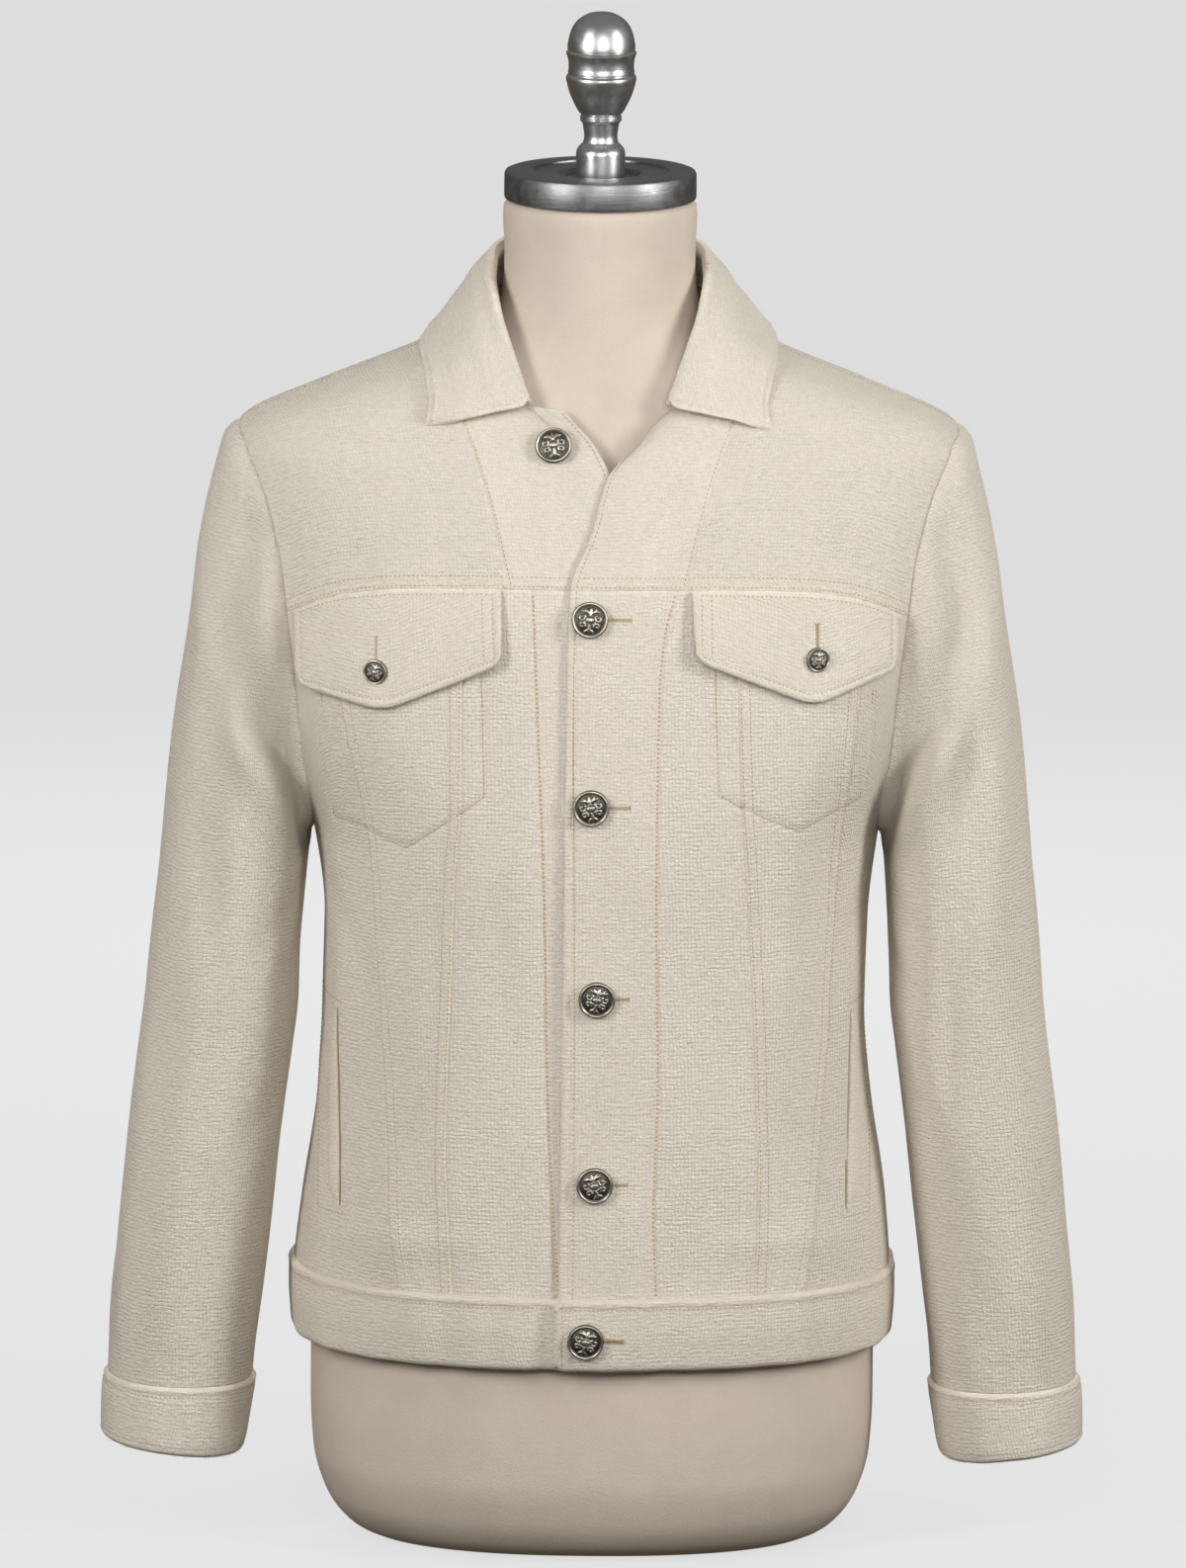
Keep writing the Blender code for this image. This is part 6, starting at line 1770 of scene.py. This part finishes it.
@dataclass
class PocketWelts(ClothWork):
    """The upright hand pockets: a rounded lip beside a slit on each side panel.

    The box of stitches round a pocket runs from box_x[0] to box_x[1] beside WELT_X, and
    box_past beyond the lip's ends.
    """

    box_x: tuple[float, float] = (-0.0062, 0.0098)
    box_past: float = 0.003

    def build(self) -> None:
        """Make both lips, the dark slits beside them and the stitching round them."""
        low, high = WELT_Z
        v = spread(high - low, 0.0035, TURNED, TURNED)
        u = np.linspace(0.0, 1.0, 13)
        body = smooth_step(np.minimum(v, 1.0 - v)[:, None] * (high - low) / 0.014)
        dome = 0.0009 * np.sqrt(np.clip(1.0 - (2.0 * u - 1.0) ** 2, 0.0, 1.0))[None] * body
        sink = 0.0006 * (u[None] ** 3) + 0.0006 * (1.0 - body)
        ends = (low - self.box_past, high + self.box_past)
        for side, sign in SIDES.items():
            x = sign * (WELT_X - WELT_WIDTH / 2.0 + WELT_WIDTH * (0.35 + 0.65 * body) * u[None, :])
            x, z = np.broadcast_arrays(x, (low + (high - low) * v)[:, None])
            shell = ClothShell(f"pocket_welt_{side}_cloth", *on_front(x, z, 0.0006 + dome - sink),
                               (TURNED, TURNED, PLAIN, PLAIN), wall=0.0016)
            dress(shell, self.finishes.smooth, f"pocket_welt_{side}")
            self.slit(side, sign)
            for offset in self.box_x:
                path = np.linspace(*ends, 60)
                self.stitches.add(*on_front(sign * (WELT_X + offset) * np.ones(60), path, 0.0001))
            for end in ends:
                x_run = sign * np.linspace(*(WELT_X + offset for offset in self.box_x), 12)
                self.stitches.add(*on_front(x_run, np.full(12, end), 0.0001))

    def slit(self, side: str, sign: float) -> None:
        """The shadowed gap along the lip: a narrow flat strip of painted shade, pointed at both
        ends.
        """
        low, high = WELT_Z
        share = np.linspace(0.0, 1.0, 40)
        z = low + 0.002 + (high - low - 0.004) * share
        width = 0.0005 * np.sin(math.pi * share) ** 0.5 + 0.00003
        out = 0.0 if sign < 0.0 else -0.0006
        columns = [on_front(sign * (WELT_X - WELT_WIDTH / 2.0 - 0.0003 + edge * width), z, out)[0]
                   for edge in (-1.0, 0.0, 1.0)]
        angle = BODY.angle_of_x(np.full((40, 3), sign * WELT_X), np.repeat(z[:, None], 3, 1))
        shell = ClothShell(f"pocket_slit_{side}", np.stack(columns, axis=1),
                           BODY.normal(angle, z[:, None]), (PLAIN,) * 4, wall=0.0006)
        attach(shell.build(self.finishes.dark), "root")


@dataclass
class Buttons:
    """Domed shank buttons with a raised rim and a generic leaf and scroll ornament."""

    finishes: Finishes
    rings: int = 42
    spokes: int = 116

    @staticmethod
    def ornament(x: Array, y: Array) -> Array:
        """Height 0 to 1 of the ornament on a button of radius one.

        A plain oval boss in the middle with a thin ring, two mirrored spirals to each side and
        a fan of leaves above and below, each a rounded ridge about its own curve.
        """
        t = np.linspace(0.0, 1.0, 46)
        half_turn = math.pi * (t - 0.5)
        curves = [(0.33 * np.cos(half_turn), 0.24 * np.sin(half_turn), 0.032 + 0.0 * t)]
        for centre_x, centre_y, size, spin, start in SPIRALS:
            turn, radius = start + spin * 5.6 * t, size * (1.0 - 0.72 * t)
            curves.append((centre_x + radius * np.cos(turn), centre_y + radius * np.sin(turn),
                           0.070 - 0.020 * t))
        for lean, low, high, width in LEAVES:
            curves.append((lean * t, low + (high - low) * t,
                           width * np.sin(math.pi * (0.12 + 0.8 * t)) + 0.014))
        near = np.full(x.shape, 9.0)
        for curve in curves:
            for point_x, point_y, width in zip(*curve):
                near = np.minimum(near, np.hypot(np.abs(x) - point_x, y - point_y) / width)
        boss = 1.0 - ((x / 0.25) ** 2 + (y / 0.17) ** 2) ** 2
        return np.clip(np.maximum(boss, 1.0 - near ** 2), 0.0, 1.0)

    def one(self, name: str, x: float, z: float, radius: float, out: float) -> None:
        """Make one button on the draped cloth, square to it."""
        share = np.concatenate([np.linspace(0.0, 0.74, self.rings - 16),
                                np.linspace(0.74, 1.0, 14)[1:], [1.0, 0.985, 0.7]])
        turn = round_turn(self.spokes)
        px, py = share[:, None] * np.cos(turn), share[:, None] * np.sin(turn)
        spin = 0.3 * math.sin(97.0 * x + 31.0 * z)
        leaf = self.ornament(px * math.cos(spin) + py * math.sin(spin),
                             py * math.cos(spin) - px * math.sin(spin))
        leaf = leaf * smooth_step((0.76 - share) / 0.05)[:, None]
        beads = 0.018 * np.cos(44.0 * turn)[None] * bell(share[:, None] - 0.80, 0.02)
        height = smooth_pair(share, BUTTON_DOME)[:, None] + 0.062 * leaf + beads
        height[-3:] = np.array([-0.09, -0.16, -0.20])[:, None] + 0.16
        rim = bell(share[:, None] - 0.90, 0.055) * np.ones_like(turn)
        rubbed = np.clip(0.10 + 0.62 * leaf + 0.85 * rim + 10.0 * beads, 0.0, 1.0)
        rubbed[-3:] = BACK_RUBBED
        points = radius * np.stack([px, py, height], -1)[1:]
        poles = np.array([[0.0, 0.0, radius * height[row, 0]] for row in (0, -1)])
        angle = float(BODY.angle_of_x(x, z))
        normal = BODY.normal(angle, z)
        up = unit(np.array([0.0, 0.0, 1.0]) - normal[2] * normal)
        axes = np.stack([np.cross(up, normal), up, normal])
        place = draped_point(np.array(angle), np.array(z), np.array(out))
        obj = new_mesh_object(f"{name}_struck",
                              np.concatenate([points.reshape(-1, 3), poles]) @ axes + place,
                              wound_faces(len(points), self.spokes), self.finishes.silver,
                              sharp=70.0)
        values = np.concatenate([rubbed[1:].ravel(), [rubbed[0, 0], BACK_RUBBED]])
        layer = obj.data.attributes.new("rubbed", "FLOAT", "POINT")
        layer.data.foreach_set("value", values.astype(np.float32))
        stand_for(obj, name)

    def build(self) -> None:
        """Make all the buttons."""
        for name, x, z, radius, out in BUTTONS:
            self.one(name, x, z, radius, out)


@dataclass
class Buttonholes:
    """Worked buttonholes: a slit of painted shade between two rows of close stitches with a bar
    tack.
    """

    finishes: Finishes
    points: int = 60

    def line(self, name: str, x: float, z: float, radius: float, out: float,
             ) -> tuple[Array, Array, Array]:
        """x, height and distance out of one hole's points, from its button outward."""
        ones = np.ones(self.points)
        if name.startswith("flap"):
            share = np.linspace(radius * 0.4, radius + 0.0145, self.points)
            return x * ones, z + share, np.linspace(0.0055, 0.0050, self.points)
        on_waist = name == "waistband_button"
        line_x = x + np.linspace(0.004, (0.0195 if on_waist else 0.0215) - x, self.points)
        lift = (out + 0.0004) * ones if on_waist else lap_lift("left", line_x) + 0.0001
        return line_x, z * ones, lift

    def build(self) -> None:
        """Make a level hole beside each front button and an upright one above each flap's."""
        thread = StitchRun("buttonhole_stitches", pitch=0.00055, length=0.0011, radius=0.00024)
        for button in BUTTONS:
            name = button[0]
            if name == OPEN_BUTTON:
                continue
            points, normal = on_front(*self.line(*button))
            along = unit(np.gradient(points, axis=0))
            cross = unit(np.cross(normal, along))
            for edge in (-1.0, 1.0):
                thread.add_across(points + edge * 0.00085 * cross, normal, cross)
            tack = points[-1:] + np.linspace(-0.0014, 0.0014, 6)[:, None] * cross[-1]
            thread.add_across(tack, np.repeat(normal[-1:], 6, 0), np.repeat(along[-1:], 6, 0))
            # The slit is a thin dark strip: painted shade in the cut.
            strip = np.stack([points + edge * 0.00026 * cross for edge in (-1.0, 0.0, 1.0)], axis=1)
            shell = ClothShell(f"buttonhole_slit_{name}", strip + 0.0001 * normal[:, None],
                               np.repeat(normal[:, None], 3, axis=1), (PLAIN,) * 4, wall=0.0005)
            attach(shell.build(self.finishes.dark), "root")
        thread.build(self.finishes.thread)


@dataclass
class DressForm:
    """The limbless form: canvas torso and neck, metal cap and turned finial."""

    finishes: Finishes
    segments: int = 120

    def torso(self) -> None:
        """Loft the form's sections, closed flat below and above, with faint panel seams."""
        z = np.concatenate([np.linspace(0.0, 0.06, 22), np.linspace(0.06, 0.69, 84)[1:],
                            np.linspace(0.69, 0.80, 34)[1:], np.linspace(0.80, 0.8567, 20)[1:]])
        angle = round_turn(self.segments)
        off = np.abs(FoldField.wrapped(angle * 4.0)) / 4.0
        turn, height = np.meshgrid(angle, z)
        grid = FORM.point(turn, height)
        seam = 0.0005 * bell(off, 0.012)[None] * smooth_step((height - 0.02) / 0.03)
        grid = grid - seam[..., None] * FORM.normal(turn, np.clip(height, 0.003, 0.853))
        low = [grid[:1] * np.array([k, k, 1.0]) for k in (0.35, 0.7)]
        high = [grid[-1:] * np.array([k, k, 1.0]) for k in (0.7, 0.35)]
        full = np.concatenate([*low, grid, *high])
        poles = np.array([[0.0, 0.0, z[0]], [0.0, 0.0, z[-1]]])
        obj = new_mesh_object("dress_form_canvas", np.concatenate([full.reshape(-1, 3), poles]),
                              wound_faces(len(full), self.segments), self.finishes.canvas)
        stand_for(obj, "dress_form")

    @staticmethod
    def lathe(name: str, profile: Array, segments: int, material: Material) -> bpy.types.Object:
        """Sweep a profile, pole to pole, a full turn about Z."""
        inner = profile[1:-1]
        turn = round_turn(segments)
        grid = np.stack([inner[:, 0:1] * np.cos(turn), inner[:, 0:1] * np.sin(turn),
                         np.repeat(inner[:, 1:2], segments, 1)], -1)
        poles = np.array([[0.0, 0.0, profile[0, 1]], [0.0, 0.0, profile[-1, 1]]])
        return new_mesh_object(name, np.concatenate([grid.reshape(-1, 3), poles]),
                               wound_faces(len(inner), segments), material, sharp=32.0)

    def build(self) -> None:
        """Make torso, cap and finial."""
        self.torso()
        cap = self.lathe("neck_cap_turned", np.array(CAP_PROFILE), 128, self.finishes.cap)
        stand_for(cap, "neck_cap")
        rows = np.array(FINIAL_PROFILE)
        chord = run_length(rows)
        at = np.sort(np.concatenate([np.linspace(0.0, chord[-1], 112), chord]))
        at = at[np.concatenate(([True], np.diff(at) > 1e-5))]
        smooth = np.stack(smooth_columns(at, chord, rows), -1)
        finial = self.lathe("finial_turned", smooth, 84, self.finishes.finial)
        stand_for(finial, "finial")


@dataclass(frozen=True)
class SoftBox:
    """A rectangular soft light, turned to the jacket's chest."""

    name: str
    place: tuple[float, float, float]
    size: tuple[float, float]
    power: float
    mirrored_in_metal: bool = True

    def build(self) -> None:
        """Hang the light."""
        data = bpy.data.lights.new(self.name, "AREA")
        data.shape = "RECTANGLE"
        data.size, data.size_y = self.size
        data.energy = self.power
        obj = bpy.data.objects.new(self.name, data)
        obj.visible_glossy = self.mirrored_in_metal
        obj.location = self.place
        toward = Vector((0.0, 0.0, 0.45)) - Vector(self.place)
        obj.rotation_euler = toward.to_track_quat("-Z", "Y").to_euler()
        bpy.context.scene.collection.objects.link(obj)


SOFT_BOXES = (SoftBox("left_soft_box", (-1.65, -1.55, 1.42), (0.55, 1.2), 32.0),
              SoftBox("right_soft_box", (2.00, -1.10, 1.42), (0.55, 1.2), 35.0),
              SoftBox("front_soft_box", (0.25, -2.1, 1.40), (1.0, 0.7), 17.5),
              SoftBox("back_soft_box", (0.0, 2.3, 1.30), (2.0, 0.9), 42.0, False))


@dataclass(frozen=True)
class Studio:
    """Pale seamless floor, soft lights and the camera of the picture."""

    distance: float = 9.5
    elevation: float = 11.2
    aim: tuple[float, float, float] = (-0.0019, 0.0, 0.4825)
    lens: float = 345.02
    roll: float = 0.42
    floor_size: float = 40.0
    floor_colour: str = "525252"
    floor_glow: float = 0.70
    sky_low: str = "8c867e"
    sky_high: str = "d2d2d2"
    sky_strength: float = 0.34

    def floor(self) -> None:
        """One large level plane under the form, lit so evenly that it seems to glow."""
        size = self.floor_size
        corners = [(-size, -size, 0.0), (size, -size, 0.0), (size, size, 0.0), (-size, size, 0.0)]
        mesh = bpy.data.meshes.new("studio_floor")
        mesh.from_pydata(corners, [], [[0, 1, 2, 3]])
        paper = PlainMatte("studio_floor_paper", self.floor_colour, glow=self.floor_glow)
        mesh.materials.append(paper.build())
        obj = bpy.data.objects.new("studio_floor", mesh)
        obj.visible_diffuse = False
        obj.visible_glossy = False
        bpy.context.scene.collection.objects.link(obj)

    def camera(self) -> None:
        """The picture's camera."""
        data = bpy.data.cameras.new("picture_camera")
        data.lens = self.lens
        data.sensor_width = 36.0
        data.clip_end = 200.0
        obj = bpy.data.objects.new("picture_camera", data)
        tilt = math.radians(self.elevation)
        x, y, z = self.aim
        obj.location = (x, y - self.distance * math.cos(tilt), z + self.distance * math.sin(tilt))
        turn = (Vector(self.aim) - obj.location).to_track_quat("-Z", "Y")
        obj.rotation_mode = "QUATERNION"
        half = math.radians(self.roll) / 2.0
        obj.rotation_quaternion = turn @ Quaternion((math.cos(half), 0.0, 0.0, math.sin(half)))
        bpy.context.scene.collection.objects.link(obj)
        bpy.context.scene.camera = obj

    def sky(self) -> bpy.types.World:
        """A dim world that is darker below than above."""
        world = bpy.data.worlds.new("studio_world")
        world.use_nodes = True
        tree = world.node_tree
        place = add_node(tree, "TexCoord").outputs["Generated"]
        parts = add_node(tree, "SeparateXYZ", None, {0: place})
        rise = add_node(tree, "MapRange", {"From Min": -0.2, "From Max": 0.8},
                        {"Value": parts.outputs[2]}, interpolation_type="SMOOTHSTEP")
        sky = add_node(tree, "Mix", {6: hex_linear(self.sky_low), 7: hex_linear(self.sky_high)},
                       {0: rise}, data_type="RGBA")
        feed(tree.nodes["Background"], {"Strength": self.sky_strength}, {"Color": sky.outputs[2]})
        return world

    def build(self) -> None:
        """Set floor, lights, world and camera."""
        scene = bpy.context.scene
        scene.view_settings.view_transform = "Standard"
        scene.world = self.sky()
        self.floor()
        for box in SOFT_BOXES:
            box.build()
        self.camera()


def main() -> None:
    """Dress the frame as the jacket on its form."""
    logging.basicConfig(level=logging.INFO, format="%(message)s")
    finishes, stitches, fringe = Finishes.made(), StitchRun("topstitching"), NapFringe("nap_fibres")
    shared = (finishes, stitches, fringe)
    sleeves = Sleeves(*shared)
    for part in (BodyPanels(*shared, sleeves), sleeves, Cuffs(*shared), Waistband(*shared),
                 Collar(*shared), ChestFlaps(*shared), PocketWelts(*shared)):
        part.build()
        LOG.info("built %s", type(part).__name__)
    stitches.build(finishes.thread)
    fringe.build(finishes.fibre)
    for part in (Buttons(finishes), Buttonholes(finishes), DressForm(finishes), Studio()):
        part.build()
        LOG.info("built %s", type(part).__name__)


if __name__ == "__main__":
    main()
